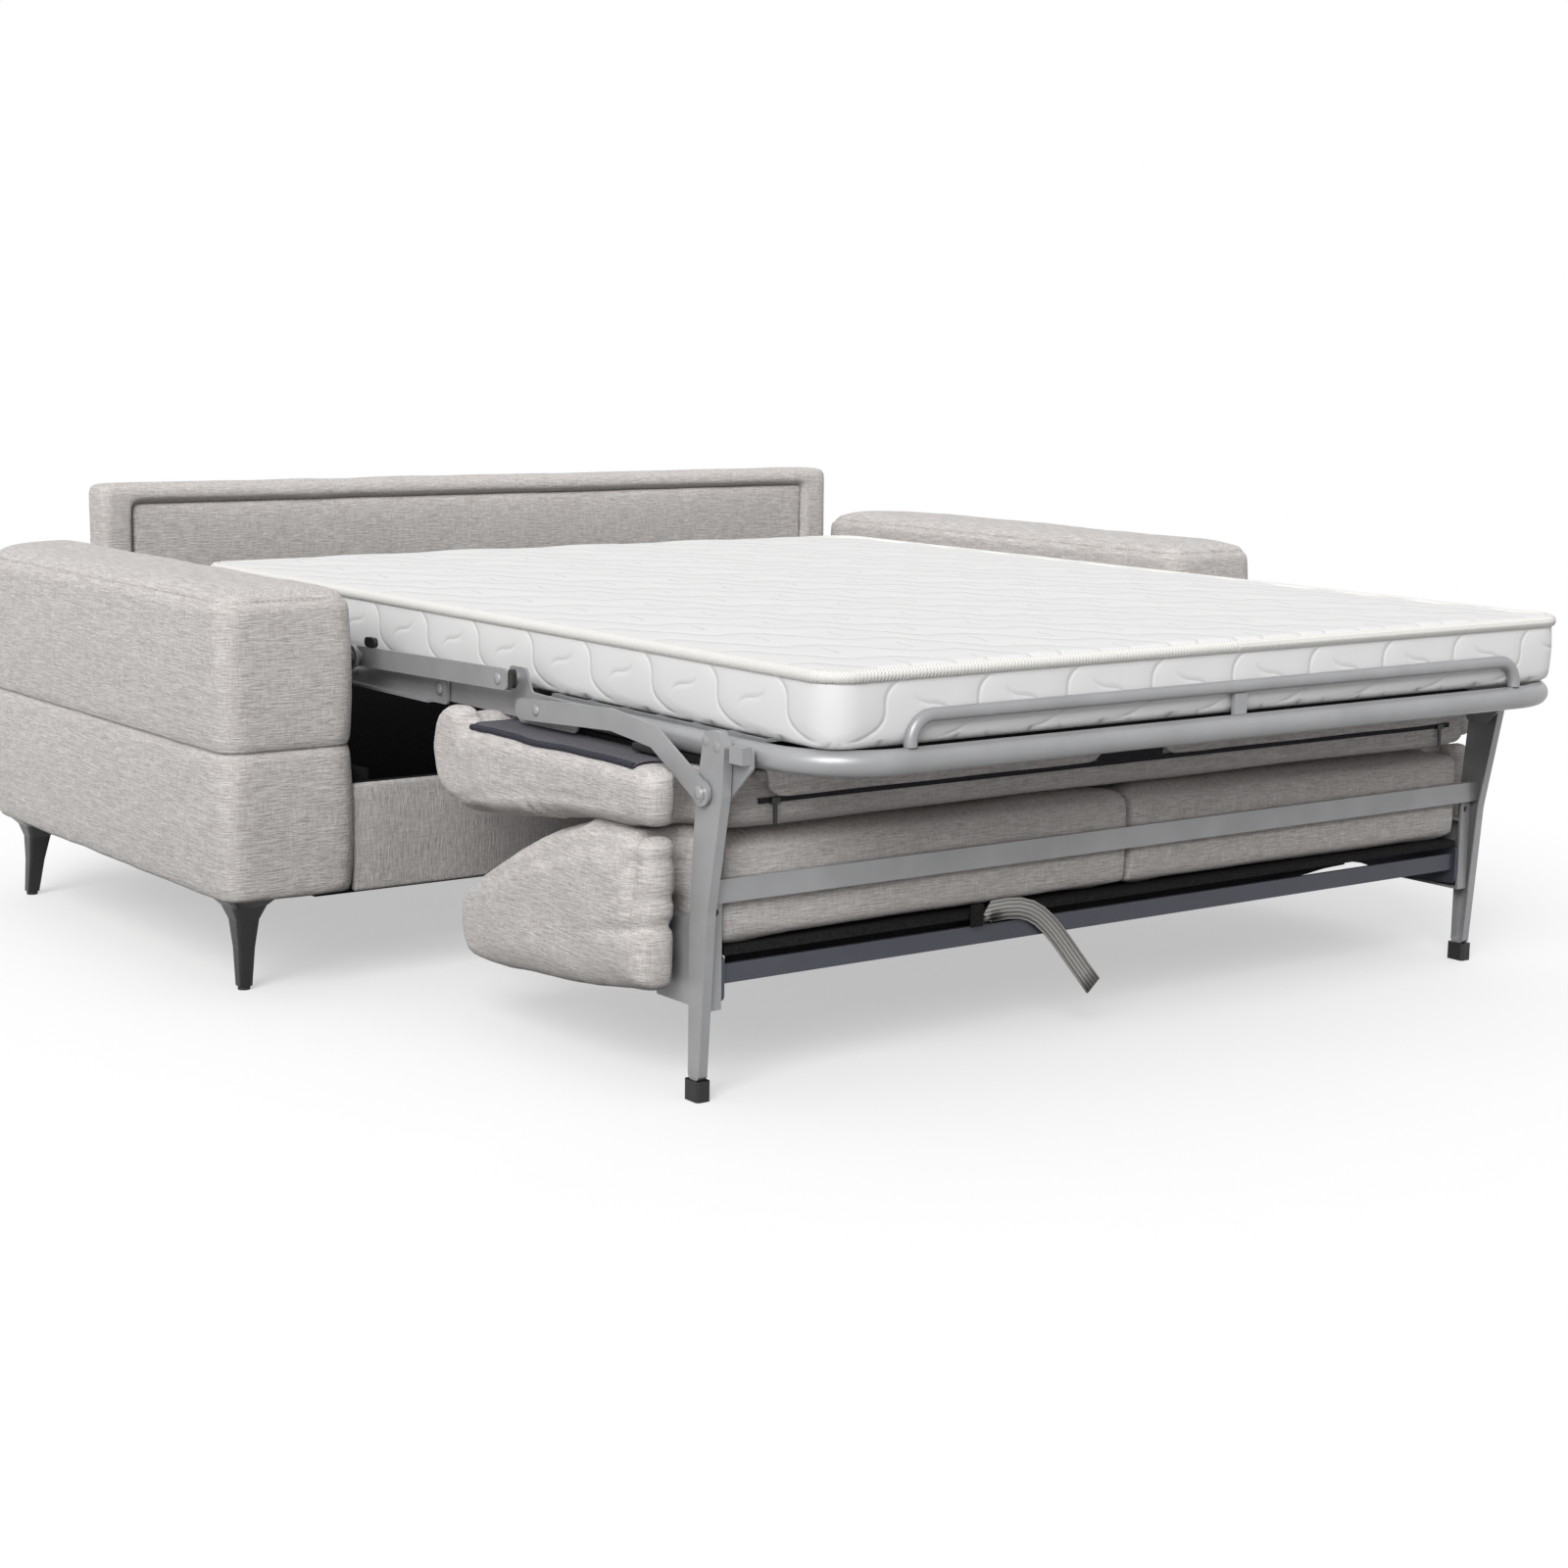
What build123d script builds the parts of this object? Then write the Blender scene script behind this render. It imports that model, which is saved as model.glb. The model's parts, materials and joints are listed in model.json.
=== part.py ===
"""Three-seat sofa bed, modelled open as a double bed.

Frame: +X across the sofa, +Y towards its back, +Z up, millimetres, with the origin on the floor
under the middle of the open bed's box.
Places along the depth are given from the arms' front face, backwards, and go through back().
Everything is built on the +X side and mirrored.
"""
import math
import os

from build123d import *

# Overall sizes
overall_width = 2102.0
sofa_depth = 1080.0
bed_reach = 1002.0
ground_clearance = 153.0

# Arms
arm_width = 223.0
arm_seam_height = 374.0
arm_shoulder = 590.0
arm_crown = 22.0
arm_corner = 34.0
arm_rear_corner = 170.0
arm_bulge = 4.5
arm_crown_inset = 46.0
arm_padding = 30.0
arm_board = 18.0

# Fixed back
back_side_gap = 26.0
back_thickness = 75.0
back_top = 704.0
back_bottom = 530.0
back_side_border = 58.0
back_top_border = 31.0
back_recess = 26.0
back_panel_thickness = 16.0
back_rounding = 14.0
beam_size = 36.0
rear_panel_thickness = 8.0
post_width = 54.0
post_depth = 32.0

# Apron between the arms
apron_front = 20.0
apron_padding = 14.0
apron_board_thickness = 12.0
apron_bottom = 149.0
apron_top = 313.0
apron_lip = 4.0

# Seat well
lining_thickness = 5.0
ledger_thickness = 30.4
ledger_bottom = 170.0
ledger_top = 330.0
dust_cover_height = 106.0
dust_cover_front = 205.0
dust_cloth = 2.4

# Sofa feet
foot_inset_x = 78.0
front_foot_place = 104.0
rear_foot_inset = 135.0
rear_foot_splay = 45.0
foot_top_size = 98.0
foot_tip_size = 21.0
glide_height = 6.0
stud_radius = 4.0
stud_length = 30.0

# Bed frame tubes
bed_height = 463.0
tube_radius = 17.0
tube_wall = 1.5
cross_radius = 13.0
foot_corner_radius = 120.0
head_room = 275.0
mesh_thickness = 4.0
mesh_wire = 5.0
mesh_pitch = 85.0

# Steel plates stand side by side in layers outside the tubes
layer_gap = 2.0
plate = 4.0
leg_depth = 14.0
link_plate = 5.0
swing_plate = 6.0
pin_radius = 6.0
pin_clearance = 0.05
pin_head = 10.0
head_height = 2.6
weld_gap = 0.3

# Pivots, as (from the arms' front, height)
swing_top = (177.0, bed_height)
swing_length = 250.0
swing_lean = 3.0
swing_spread = 500.0
crank = (-61.0, 30.0)
bridge_pivot = (-85.0, bed_height)
bridge_length = 245.0
link_lug = (31.0, 40.0)
link_tip = 14.0
leg_pivot = (-790.0, bed_height - 53.0)
bar_width = 34.0

# Mattress
mattress_side_inset = 13.0
mattress_thickness = 94.0
mattress_crown = 5.0
mattress_corner = 42.0
mattress_overhang = 15.0
mattress_foot_inset = 27.0
fold_room_head = 25.0
fold_room_foot = 45.0
mattress_gap = 0.4

# Mattress stop bar at the foot end
stop_radius = 9.0
stop_end_inset = 13.0
stop_rise = 56.0
stop_bend = 34.0
strut_width = 24.0

# Legs that carry the foot of the bed
leg_wall = 2.5
leg_cap_height = 28.0
leg_cap_rim = 4.0
crossbar_drop = 200.0
crossbar_height = 31.0
crossbar_thickness = 8.0

# Cushions
cushion_side_gap = 18.0
seat_board_thickness = 9.7
seat_nose = -162.0
seat_wing_end = -740.0
seat_middle_end = -788.0
leg_slot_room = 21.0
seat_slot_end = -690.0
cushion_end_round = 20.0
back_split = 8.0
back_ear_end = -738.0
back_middle_end = -779.0
back_drop = 263.0
back_slot_end = -650.0
flap_thickness = 5.0
zip_height = 7.0
strap_width = 32.0
strap_thickness = 4.0

# Backrest carrier
panel_thickness = 9.7
carrier_plate = 6.0
carrier_height = 60.0
rod_radius = 7.0

# Derived places
arm_front = (bed_reach - sofa_depth) / 2
half_width = overall_width / 2
arm_inner = half_width - arm_width
arm_depth = sofa_depth - rear_panel_thickness - post_depth
rear_foot_place = arm_depth - rear_foot_inset
back_half_width = arm_inner - back_side_gap
back_front = sofa_depth - back_thickness
mattress_head_place = sofa_depth - head_room
mattress_foot_place = mattress_foot_inset - bed_reach
head_end = mattress_head_place - mattress_overhang
arm_bottom = ground_clearance
hinge_c = (bridge_pivot[0] - bridge_length, bridge_pivot[1])
lean = math.radians(swing_lean)
swing_base = (swing_top[0] + swing_length * math.sin(lean),
              swing_top[1] - swing_length * math.cos(lean))
rear_top = (swing_top[0] + swing_spread, swing_top[1])
rear_base = (swing_base[0] + swing_spread, swing_base[1])
link_rear = (swing_top[0] + crank[0], swing_top[1] + crank[1])
link_front = (hinge_c[0] + link_lug[0], hinge_c[1] + link_lug[1])

# Layers from the arm's lining inwards to the bed's tubes
lining_x = arm_inner - lining_thickness - weld_gap
ledger_x = lining_x - weld_gap - ledger_thickness
mount_x = ledger_x - link_plate
swing_x = mount_x - 2 * layer_gap - swing_plate
link_x = swing_x - 3 * layer_gap - link_plate
carrier_x = link_x - layer_gap - link_plate
leg_x = carrier_x - layer_gap - leg_depth
rail_x = leg_x - layer_gap - plate
bar_x = rail_x - layer_gap - plate
frame_half_width = bar_x - layer_gap / 2 - tube_radius
mattress_width = 2 * (frame_half_width - mattress_side_inset)
stop_half_width = frame_half_width - foot_corner_radius - stop_end_inset
cushion_half_width = arm_inner - cushion_side_gap
leg_slot_inner = leg_x - leg_slot_room
leg_slot_outer = link_x + layer_gap
ear_inner = carrier_x + 1.5 * layer_gap
back_underside = bed_height - back_drop
stop_height = bed_height + stop_rise
crossbar_low = bed_height - crossbar_drop
mesh_low = bed_height + tube_radius + weld_gap
mattress_low = mesh_low + mesh_thickness + weld_gap
mattress_high = mattress_low + mattress_thickness
foot_end = -bed_reach + tube_radius


def back(place):
    """Y of a place given from the arms' front face."""
    return arm_front + place


def block(x0, x1, s0, s1, z0, z1):
    """A box between two corners, with s0 and s1 from the arms' front."""
    corner = Vector(x0, back(s0), z0)
    return Pos(*corner) * Box(x1 - x0, s1 - s0, z1 - z0, align=(Align.MIN,) * 3)


def rod(start, direction, length, radius):
    """A round bar from a point given as (x, from the arms' front, z)."""
    origin = (start[0], back(start[1]), start[2])
    return Solid.make_cylinder(radius, length, Plane(origin=origin, z_dir=direction))


def pipe(start, direction, length, radius):
    """A round tube with the frame's wall."""
    return rod(start, direction, length, radius) - rod(start, direction, length, radius - tube_wall)


def side_plane(x):
    """The plane of side views at x, with its own x along the depth and its own y up."""
    return Plane(origin=(x, arm_front, 0), x_dir=(0, 1, 0), z_dir=(1, 0, 0))


def slab(sketch, x0, x1):
    """Extrude a side view from x0 to x1."""
    return extrude(side_plane(x0) * sketch, x1 - x0)


def capsule(p, q, width):
    """Side view of a flat bar with round ends on two pivots."""
    length = math.hypot(q[0] - p[0], q[1] - p[1])
    turn = math.degrees(math.atan2(q[1] - p[1], q[0] - p[0]))
    middle = ((p[0] + q[0]) / 2, (p[1] + q[1]) / 2)
    return Pos(*middle) * Rot(0, 0, turn) * SlotCenterToCenter(length, width)


def disc(p, radius):
    """Side view of a round eye on a pivot."""
    return Pos(*p) * Circle(radius)


def outline(points, rounding):
    """Side view through corner points, all rounded alike."""
    shape = make_face(Polyline(*points, close=True))
    return fillet(shape.vertices(), rounding) if rounding else shape


def hole(p):
    """Side view of a pin's running hole."""
    return disc(p, pin_radius + pin_clearance)


def pair(shape):
    """The piece and its mirror image on the other side."""
    return [shape, mirror(shape, about=Plane.YZ)]


def pivot_pin(p, x0, x1, head_at_end=True):
    """A pin along X with one flat head outside its last plate."""
    body = rod((x0, p[0], p[1]), (1, 0, 0), x1 - x0, pin_radius)
    head_x = x1 if head_at_end else x0 - head_height
    return body + rod((head_x, p[0], p[1]), (1, 0, 0), head_height, pin_head)


def save(name, *solids):
    """Write one node, as one solid or as a group of separate solids."""
    shape = solids[0] if len(solids) == 1 else Compound(children=list(solids))
    export_step(shape, os.path.join("parts", name + ".step"))


def save_pair(name, shape):
    """Write a left and a right node."""
    right, left = pair(shape)
    save("right_" + name, right)
    save("left_" + name, left)


def arm_section(z, inset):
    """Plan of the right arm at one height, drawn in by an inset."""
    x0 = arm_inner + inset
    x1 = half_width - inset
    s0 = back(inset)
    s1 = back(arm_depth - inset)
    plan = make_face(Polyline((x0, s0), (x1, s0), (x1, s1), (x0, s1), close=True))
    plan = fillet(plan.vertices().group_by(Axis.Y)[0], arm_corner)
    rear_outer = plan.vertices().sort_by_distance((x1, s1, 0))[0]
    plan = fillet(rear_outer, arm_rear_corner - 1.2 * inset)
    return Pos(0, 0, z) * plan


def arms():
    """Padded covers, open below, over timber boxes."""
    lower_middle = (arm_bottom + arm_seam_height) / 2
    upper_middle = (arm_seam_height + arm_shoulder) / 2
    lower = loft([arm_section(arm_bottom, arm_bulge),
                  arm_section(lower_middle, 0),
                  arm_section(arm_seam_height, arm_bulge)])
    upper = loft([arm_section(arm_seam_height, arm_bulge),
                  arm_section(upper_middle, 0),
                  arm_section(arm_shoulder, arm_bulge)])
    dome = loft([arm_section(arm_shoulder, arm_bulge),
                 arm_section(arm_shoulder + 0.6 * arm_crown, 0.34 * arm_crown_inset),
                 arm_section(arm_shoulder + arm_crown, arm_crown_inset)], ruled=True)
    cavity = block(arm_inner + arm_padding, half_width - arm_padding,
                   2 * arm_padding, arm_depth - 3 * arm_padding,
                   arm_bottom - 1, arm_shoulder - arm_padding)
    save_pair("arm_cover", lower + upper + dome - cavity)
    x0 = arm_inner + arm_padding + weld_gap
    x1 = half_width - arm_padding - weld_gap
    s0 = 2 * arm_padding + weld_gap
    s1 = arm_depth - 3 * arm_padding - weld_gap
    top = arm_shoulder - arm_padding - weld_gap
    crate = block(x0, x1, s0, s1, arm_bottom, top)
    crate -= block(x0 - 1, x1 - arm_board, s0 + arm_board, s1 - arm_board,
                   arm_bottom + arm_board, top - arm_board)
    for place in (front_foot_place, rear_foot_place):
        bore = stud_radius + pin_clearance
        crate -= rod((half_width - foot_inset_x, place, arm_bottom - 1), (0, 0, 1), stud_length + 2, bore)
    save("arm_frames", *pair(crate))


def sofa_foot(place, splay):
    """A flared corner foot: a square taper with its inner quarter cut away near the top."""
    x = half_width - foot_inset_x
    sections = []
    for share, size in ((0, foot_tip_size), (0.4, 1.3 * foot_tip_size), (0.7, 1.8 * foot_tip_size),
                        (0.85, 0.58 * foot_top_size), (0.94, 0.86 * foot_top_size), (1, foot_top_size)):
        z = glide_height + share * (arm_bottom - glide_height)
        shift = splay * (1 - share)
        sections.append(Pos(x, back(place + shift), z) * RectangleRounded(size, size, 0.2 * size))
    foot = loft(sections, ruled=True)
    inward = place + 12 if place < arm_depth / 2 else place - foot_top_size
    relief = block(x - foot_top_size, x - 12, inward, inward + foot_top_size - 12,
                   arm_bottom - 0.42 * foot_top_size, arm_bottom - 4)
    return foot - relief


def feet():
    """Four flared feet, their glides and the studs that hold them."""
    places = ((front_foot_place, 5.0), (rear_foot_place, rear_foot_splay))
    x = half_width - foot_inset_x
    castings = []
    glides = []
    studs = []
    for place, splay in places:
        castings += pair(sofa_foot(place, splay))
        glides += pair(rod((x, place + splay, 0), (0, 0, 1), glide_height, 0.45 * foot_tip_size))
        studs += pair(rod((x, place, arm_bottom), (0, 0, 1), stud_length, stud_radius))
    save("sofa_feet", *castings)
    save("foot_glides", *glides)
    save("foot_studs", *studs)


def fixed_back():
    """The padded back: a bordered cover over a timber beam, with a recessed panel in front."""
    w = back_half_width
    cover = block(-w, w, back_front, sofa_depth, back_bottom, back_top)
    cover = fillet(cover.edges().filter_by(Axis.X).group_by(Axis.Z)[-1], back_rounding)
    cover = fillet(cover.edges().filter_by(Axis.Z), back_rounding)
    inner = w - back_side_border
    recess_top = back_top - back_top_border
    cover -= block(-inner, inner, back_front - 1, back_front + back_recess, back_bottom - 1, recess_top)
    beam_front = back_front + back_recess + 6
    beam_top = recess_top - 10
    cover -= block(-inner, inner, beam_front, beam_front + beam_size, back_bottom - 1, beam_top)
    save("back_cover", cover)
    beam = block(-inner + weld_gap, inner - weld_gap, beam_front + weld_gap,
                 beam_front + beam_size - weld_gap, back_bottom, beam_top - weld_gap)
    post_front = arm_depth + weld_gap
    panel_front = sofa_depth - rear_panel_thickness
    post = block(arm_inner - 2 - post_width, arm_inner - 2, post_front, panel_front, arm_bottom,
                 back_bottom - weld_gap)
    save("back_frame", beam, *pair(post))
    pad_front = back_front + back_recess - back_panel_thickness
    pad = block(-inner + 3, inner - 3, pad_front, back_front + back_recess - weld_gap,
                back_bottom + 2, recess_top - 3)
    pad = fillet(pad.faces().sort_by(Axis.Y)[0].edges(), 6)
    save("back_panel", pad)
    save("rear_panel", block(-arm_inner + 2, arm_inner - 2, panel_front, sofa_depth, arm_bottom,
                             back_bottom - weld_gap))


def apron():
    """The upholstered board across the front, between the arms."""
    w = arm_inner - 0.5
    board_front = apron_front + apron_padding + weld_gap
    board_back = board_front + apron_board_thickness
    board_top = apron_top - apron_lip - weld_gap
    save("apron_board", block(-w, w, board_front, board_back, apron_bottom + 3, board_top))
    pad = block(-w, w, apron_front, apron_front + apron_padding, apron_bottom, apron_top)
    pad = fillet(pad.faces().sort_by(Axis.Y)[0].edges().filter_by(Axis.X), 0.7 * apron_padding)
    lip = block(-w, w, apron_front + 0.8 * apron_padding, board_back + 1, apron_top - apron_lip, apron_top)
    save("apron_cover", pad + lip)


def seat_well():
    """Ledger rails, black linings and the mechanism's fixed plates on the arms' inner sides."""
    rear = arm_depth
    front = apron_front + apron_padding + apron_board_thickness + 2
    lining = block(lining_x, lining_x + lining_thickness, front, rear, arm_bottom, back_bottom)
    panel_front = sofa_depth - rear_panel_thickness
    far = block(-lining_x + post_width + 10, lining_x - post_width - 10, panel_front - weld_gap - 3,
                panel_front - weld_gap, dust_cover_height + dust_cloth + weld_gap, back_bottom - weld_gap)
    save("well_linings", far, *pair(lining))
    outer = lining_x - 0.6 * ledger_thickness
    cloth_top = dust_cover_height + dust_cloth
    floor_cloth = block(-outer, outer, dust_cover_front, panel_front - weld_gap, dust_cover_height, cloth_top)
    side_cloth = block(outer - dust_cloth, outer, dust_cover_front, rear, cloth_top + weld_gap,
                       ledger_bottom - weld_gap)
    save("dust_cover", floor_cloth, *pair(side_cloth))
    ledger = block(ledger_x, lining_x - weld_gap, front, rear, ledger_bottom, ledger_top)
    save("ledger_rails", *pair(ledger))
    margin = 60.0
    low = swing_base[1] - 34
    high = swing_base[1] + 66
    mount = outline([(swing_base[0] - margin, low), (rear_base[0] + margin, low),
                     (rear_base[0] + margin, high), (swing_base[0] - margin, high)], 16)
    mount -= hole(swing_base) + hole(rear_base)
    save("mount_plates", *pair(slab(mount, mount_x, ledger_x)))
    pins = []
    for base in (swing_base, rear_base):
        pins += pair(pivot_pin(base, swing_x, ledger_x, head_at_end=False))
    save("base_pivot_pins", *pins)
    bolts = []
    for place in (swing_base[0] - 0.6 * margin, swing_base[0] + 0.62 * swing_spread,
                  rear_base[0] - 0.2 * swing_spread):
        for z in (low + 18, high - 18):
            bolts += pair(rod((mount_x - head_height, place, z), (1, 0, 0), head_height, pin_radius + 2))
    save("mount_bolts", *bolts)


def swing_arms():
    """Front bell cranks and rear arms, which lower the bed into the seat well."""
    crank_view = capsule(swing_base, swing_top, bar_width) + disc(swing_base, 0.62 * bar_width)
    crank_view += disc(swing_top, 0.66 * bar_width) + capsule(swing_top, link_rear, bar_width)
    crank_view -= hole(swing_base) + hole(swing_top) + hole(link_rear)
    save_pair("front_swing_arm", slab(crank_view, swing_x, swing_x + swing_plate))
    rear_view = capsule(rear_base, rear_top, bar_width) - hole(rear_base) - hole(rear_top)
    save("rear_swing_arms", *pair(slab(rear_view, swing_x, swing_x + swing_plate)))
    save("link_pivot_pins", *pair(pivot_pin(link_rear, link_x, swing_x + swing_plate, head_at_end=False)))
    link_end = (link_front[0] - link_tip, link_front[1] + 1)
    link = capsule(link_rear, link_end, 0.9 * bar_width) - hole(link_rear)
    save("upper_links", *pair(slab(link, link_x, link_x + link_plate)))
    buffers = []
    rear_buffer = capsule((link_rear[0] - 46, link_rear[1] + 24), (link_rear[0] - 30, link_rear[1] + 24), 15.0)
    front_buffer = capsule((link_end[0] - 22, link_end[1] - 4), (link_end[0] - 22, link_end[1] + 10), 13.0)
    for view in (rear_buffer, front_buffer):
        buffers += pair(slab(view, link_x - 1, link_x + link_plate + 1))
    save("link_buffers", *buffers)


def net(s0, s1, half):
    """A flat welded wire net as one holed sheet."""
    sheet = block(-half, half, s0, s1, mesh_low, mesh_low + mesh_thickness)
    columns = max(2, round(2 * half / (1.6 * mesh_pitch)))
    rows = max(2, round((s1 - s0) / mesh_pitch))
    across = (2 * half - mesh_wire) / columns
    along = (s1 - s0 - mesh_wire) / rows
    centre = (0, back((s0 + s1) / 2), mesh_low + mesh_thickness / 2)
    gaps = Pos(*centre) * GridLocations(across, along, columns, rows)
    return sheet - gaps * Box(across - mesh_wire, along - mesh_wire, 2 * mesh_thickness)


def head_section():
    """The longer part of the bed, which stays level and sinks into the seat well."""
    tube_front = bridge_pivot[0] + 15
    side = pipe((frame_half_width, tube_front, bed_height), (0, 1, 0), head_end - tube_front, tube_radius)
    save("head_side_tubes", *pair(side))
    span = frame_half_width - tube_radius - weld_gap
    crossings = [pipe((-span, place, bed_height), (1, 0, 0), 2 * span, cross_radius)
                 for place in (tube_front + 60, (tube_front + head_end) / 2, head_end - 2 * cross_radius)]
    save("head_cross_tubes", *crossings)
    save("head_net", net(tube_front + 10, head_end - 5, frame_half_width))
    low = bed_height - 22
    rail = outline([(bridge_pivot[0] - 20, low), (rear_top[0] + 60, low), (rear_top[0] + 60, low + 45),
                    (bridge_pivot[0] - 20, low + 45)], 8)
    rail -= hole(bridge_pivot) + hole(swing_top) + hole(rear_top)
    angle = slab(rail, rail_x, rail_x + plate)
    angle += block(rail_x, rail_x + 16, bridge_pivot[0] + 20, rear_top[0] + 50, low, low + plate)
    for place in (tube_front + 40, swing_top[0] + 120, rear_top[0] - 60):
        start = (frame_half_width + tube_radius + weld_gap, place, bed_height)
        angle += rod(start, (1, 0, 0), rail_x - start[0], 10)
    save("head_rails", *pair(angle))
    pins = pair(pivot_pin(bridge_pivot, bar_x, rail_x + plate))
    for top in (swing_top, rear_top):
        pins += pair(pivot_pin(top, rail_x, swing_x + swing_plate + 0.4))
    save("head_pivot_pins", *pins)


def bridge_section():
    """The short part that stands up between the two folded mattress halves."""
    bar = capsule(bridge_pivot, hinge_c, bar_width) - hole(bridge_pivot) - hole(hinge_c)
    save("bridge_bars", *pair(slab(bar, bar_x, bar_x + plate)))
    span = bar_x - weld_gap
    places = [hinge_c[0] + share * bridge_length for share in (0.3, 0.7)]
    crossings = [pipe((-span, place, bed_height), (1, 0, 0), 2 * span, cross_radius) for place in places]
    save("bridge_cross_tubes", *crossings)


def foot_section():
    """The front part of the bed, which turns over and carries the seat."""
    start = hinge_c[0] - 15
    corner_start = foot_end + foot_corner_radius
    end_half = frame_half_width - foot_corner_radius
    corner = CenterArc((end_half, back(corner_start), bed_height), foot_corner_radius, 270, 90)
    straight = Line(corner @ 1, (frame_half_width, back(start), bed_height))
    ring = Circle(tube_radius) - Circle(tube_radius - tube_wall)
    side = sweep(Plane(origin=corner @ 0, z_dir=corner % 0) * ring, path=corner + straight)
    save("foot_side_tubes", *pair(side))
    save("foot_end_tube", pipe((-end_half, foot_end, bed_height), (1, 0, 0), 2 * end_half, tube_radius))
    span = frame_half_width - tube_radius - weld_gap
    middle = (-span, (start + corner_start) / 2, bed_height)
    save("foot_cross_tube", pipe(middle, (1, 0, 0), 2 * span, cross_radius))
    save("foot_net", net(corner_start + 5, start - 5, frame_half_width))
    stop_bar()
    brackets()


def stop_bar():
    """The low rail that keeps the mattress from sliding off the foot end, with its middle strut."""
    y = back(foot_end)
    low = bed_height + tube_radius + weld_gap
    w = stop_half_width
    corners = [(-w, y, low), (-w, y, stop_height), (w, y, stop_height), (w, y, low)]
    path = FilletPolyline(*corners, radius=stop_bend)
    bar = sweep(Plane(origin=(-w, y, low), z_dir=(0, 0, 1)) * Circle(stop_radius), path=path)
    strut = block(-strut_width / 2, strut_width / 2, foot_end - 3, foot_end + 3, low,
                  stop_height - stop_radius - weld_gap)
    save("mattress_stop_bar", bar, strut)


def brackets():
    """Hinge brackets, leg carriers and leg hinges on the foot part's side tubes."""
    tube_face = frame_half_width + tube_radius + weld_gap
    c = hinge_c
    view = outline([(c[0] - 130, c[1] - 20), (c[0] + 20, c[1] - 22), (c[0] + link_lug[0] + 18, c[1] + 30),
                    (c[0] + link_lug[0] + 18, c[1] + link_lug[1] + 16), (c[0] + 5, c[1] + link_lug[1] + 16),
                    (c[0] - 10, c[1] + 24), (c[0] - 130, c[1] + 20)], 8)
    view -= hole(c)
    bracket = slab(view, rail_x, rail_x + plate)
    bosses = ((c[0] - 60, c[1]), (c[0] - 105, c[1]))
    for p in bosses:
        bracket += rod((tube_face, p[0], p[1]), (1, 0, 0), rail_x - tube_face, 10)
    stud_end = link_x - weld_gap
    bracket += rod((rail_x + plate, link_front[0], link_front[1]), (1, 0, 0), stud_end - rail_x - plate, 9)
    save("foot_brackets", *pair(bracket))
    h = leg_pivot
    route = [(c[0] - 20, c[1] + 3), (c[0] - 250, c[1] + 16), (c[0] - 350, c[1] + 6), h]
    view = disc(h, 0.5 * bar_width)
    for p, q in zip(route, route[1:]):
        view += capsule(p, q, 0.88 * bar_width)
    view -= hole(h)
    carrier = slab(view, carrier_x, carrier_x + link_plate)
    boss_x = rail_x + plate + weld_gap
    for p in bosses:
        carrier += rod((boss_x, p[0], p[1] + 5), (1, 0, 0), carrier_x - boss_x, 9)
    save("leg_carriers", *pair(carrier))
    low = h[1] - 18
    top = bed_height + 14
    view = outline([(h[0] - 80, bed_height - 14), (h[0] - 20, low), (h[0] + 20, low),
                    (h[0] + 30, bed_height - 14), (h[0] + 30, top), (h[0] - 80, top)], 7)
    view -= hole(h)
    hanger = slab(view, rail_x, rail_x + plate)
    for step in (-60, 12):
        hanger += rod((tube_face, h[0] + step, bed_height), (1, 0, 0), rail_x - tube_face, 10)
    hanger += block(rail_x + plate, leg_x + leg_depth - 2, h[0] - 78, h[0] - 50, top - 22, top)
    save("leg_hangers", *pair(hanger))
    pins = pair(pivot_pin(c, bar_x, rail_x + plate))
    pins += pair(pivot_pin(h, rail_x, carrier_x + link_plate))
    save("foot_pivot_pins", *pins)


def legs():
    """Pressed steel legs with plastic caps, and the flat bar between them."""
    h = leg_pivot
    cap_top = leg_cap_height
    toe = (h[0] + 9, h[0] + 33)
    view = outline([(h[0] - 42, bed_height + 10), (h[0] - 27, bed_height + 29), (h[0] + 2, bed_height + 27),
                    (h[0] + 19, h[1]), (h[0] + 32, 0.62 * h[1]), (toe[1], cap_top),
                    (toe[0], cap_top), (h[0] - 8, 0.62 * h[1]), (h[0] - 38, h[1])], 7)
    inside = offset(view, -leg_wall, kind=Kind.INTERSECTION)
    web = leg_depth - leg_wall
    leg = slab(view, leg_x, leg_x + leg_depth) - slab(inside, leg_x - 1, leg_x + web)
    leg += slab(disc(h, 2 * pin_radius), leg_x, leg_x + leg_depth)
    leg -= slab(hole(h), leg_x - 1, leg_x + leg_depth + 1)
    save_pair("leg", leg)
    cap = block(leg_x - leg_cap_rim, leg_x + leg_depth + leg_cap_rim, toe[0] - leg_cap_rim,
                toe[1] + leg_cap_rim, 0, leg_cap_height - weld_gap)
    cap = fillet(cap.edges().filter_by(Axis.Z), 5)
    save("leg_caps", *pair(cap))
    span = leg_x + web - weld_gap
    save("leg_crossbar", block(-span, span, h[0], h[0] + crossbar_thickness - weld_gap, crossbar_low,
                               crossbar_low + crossbar_height))


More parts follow.
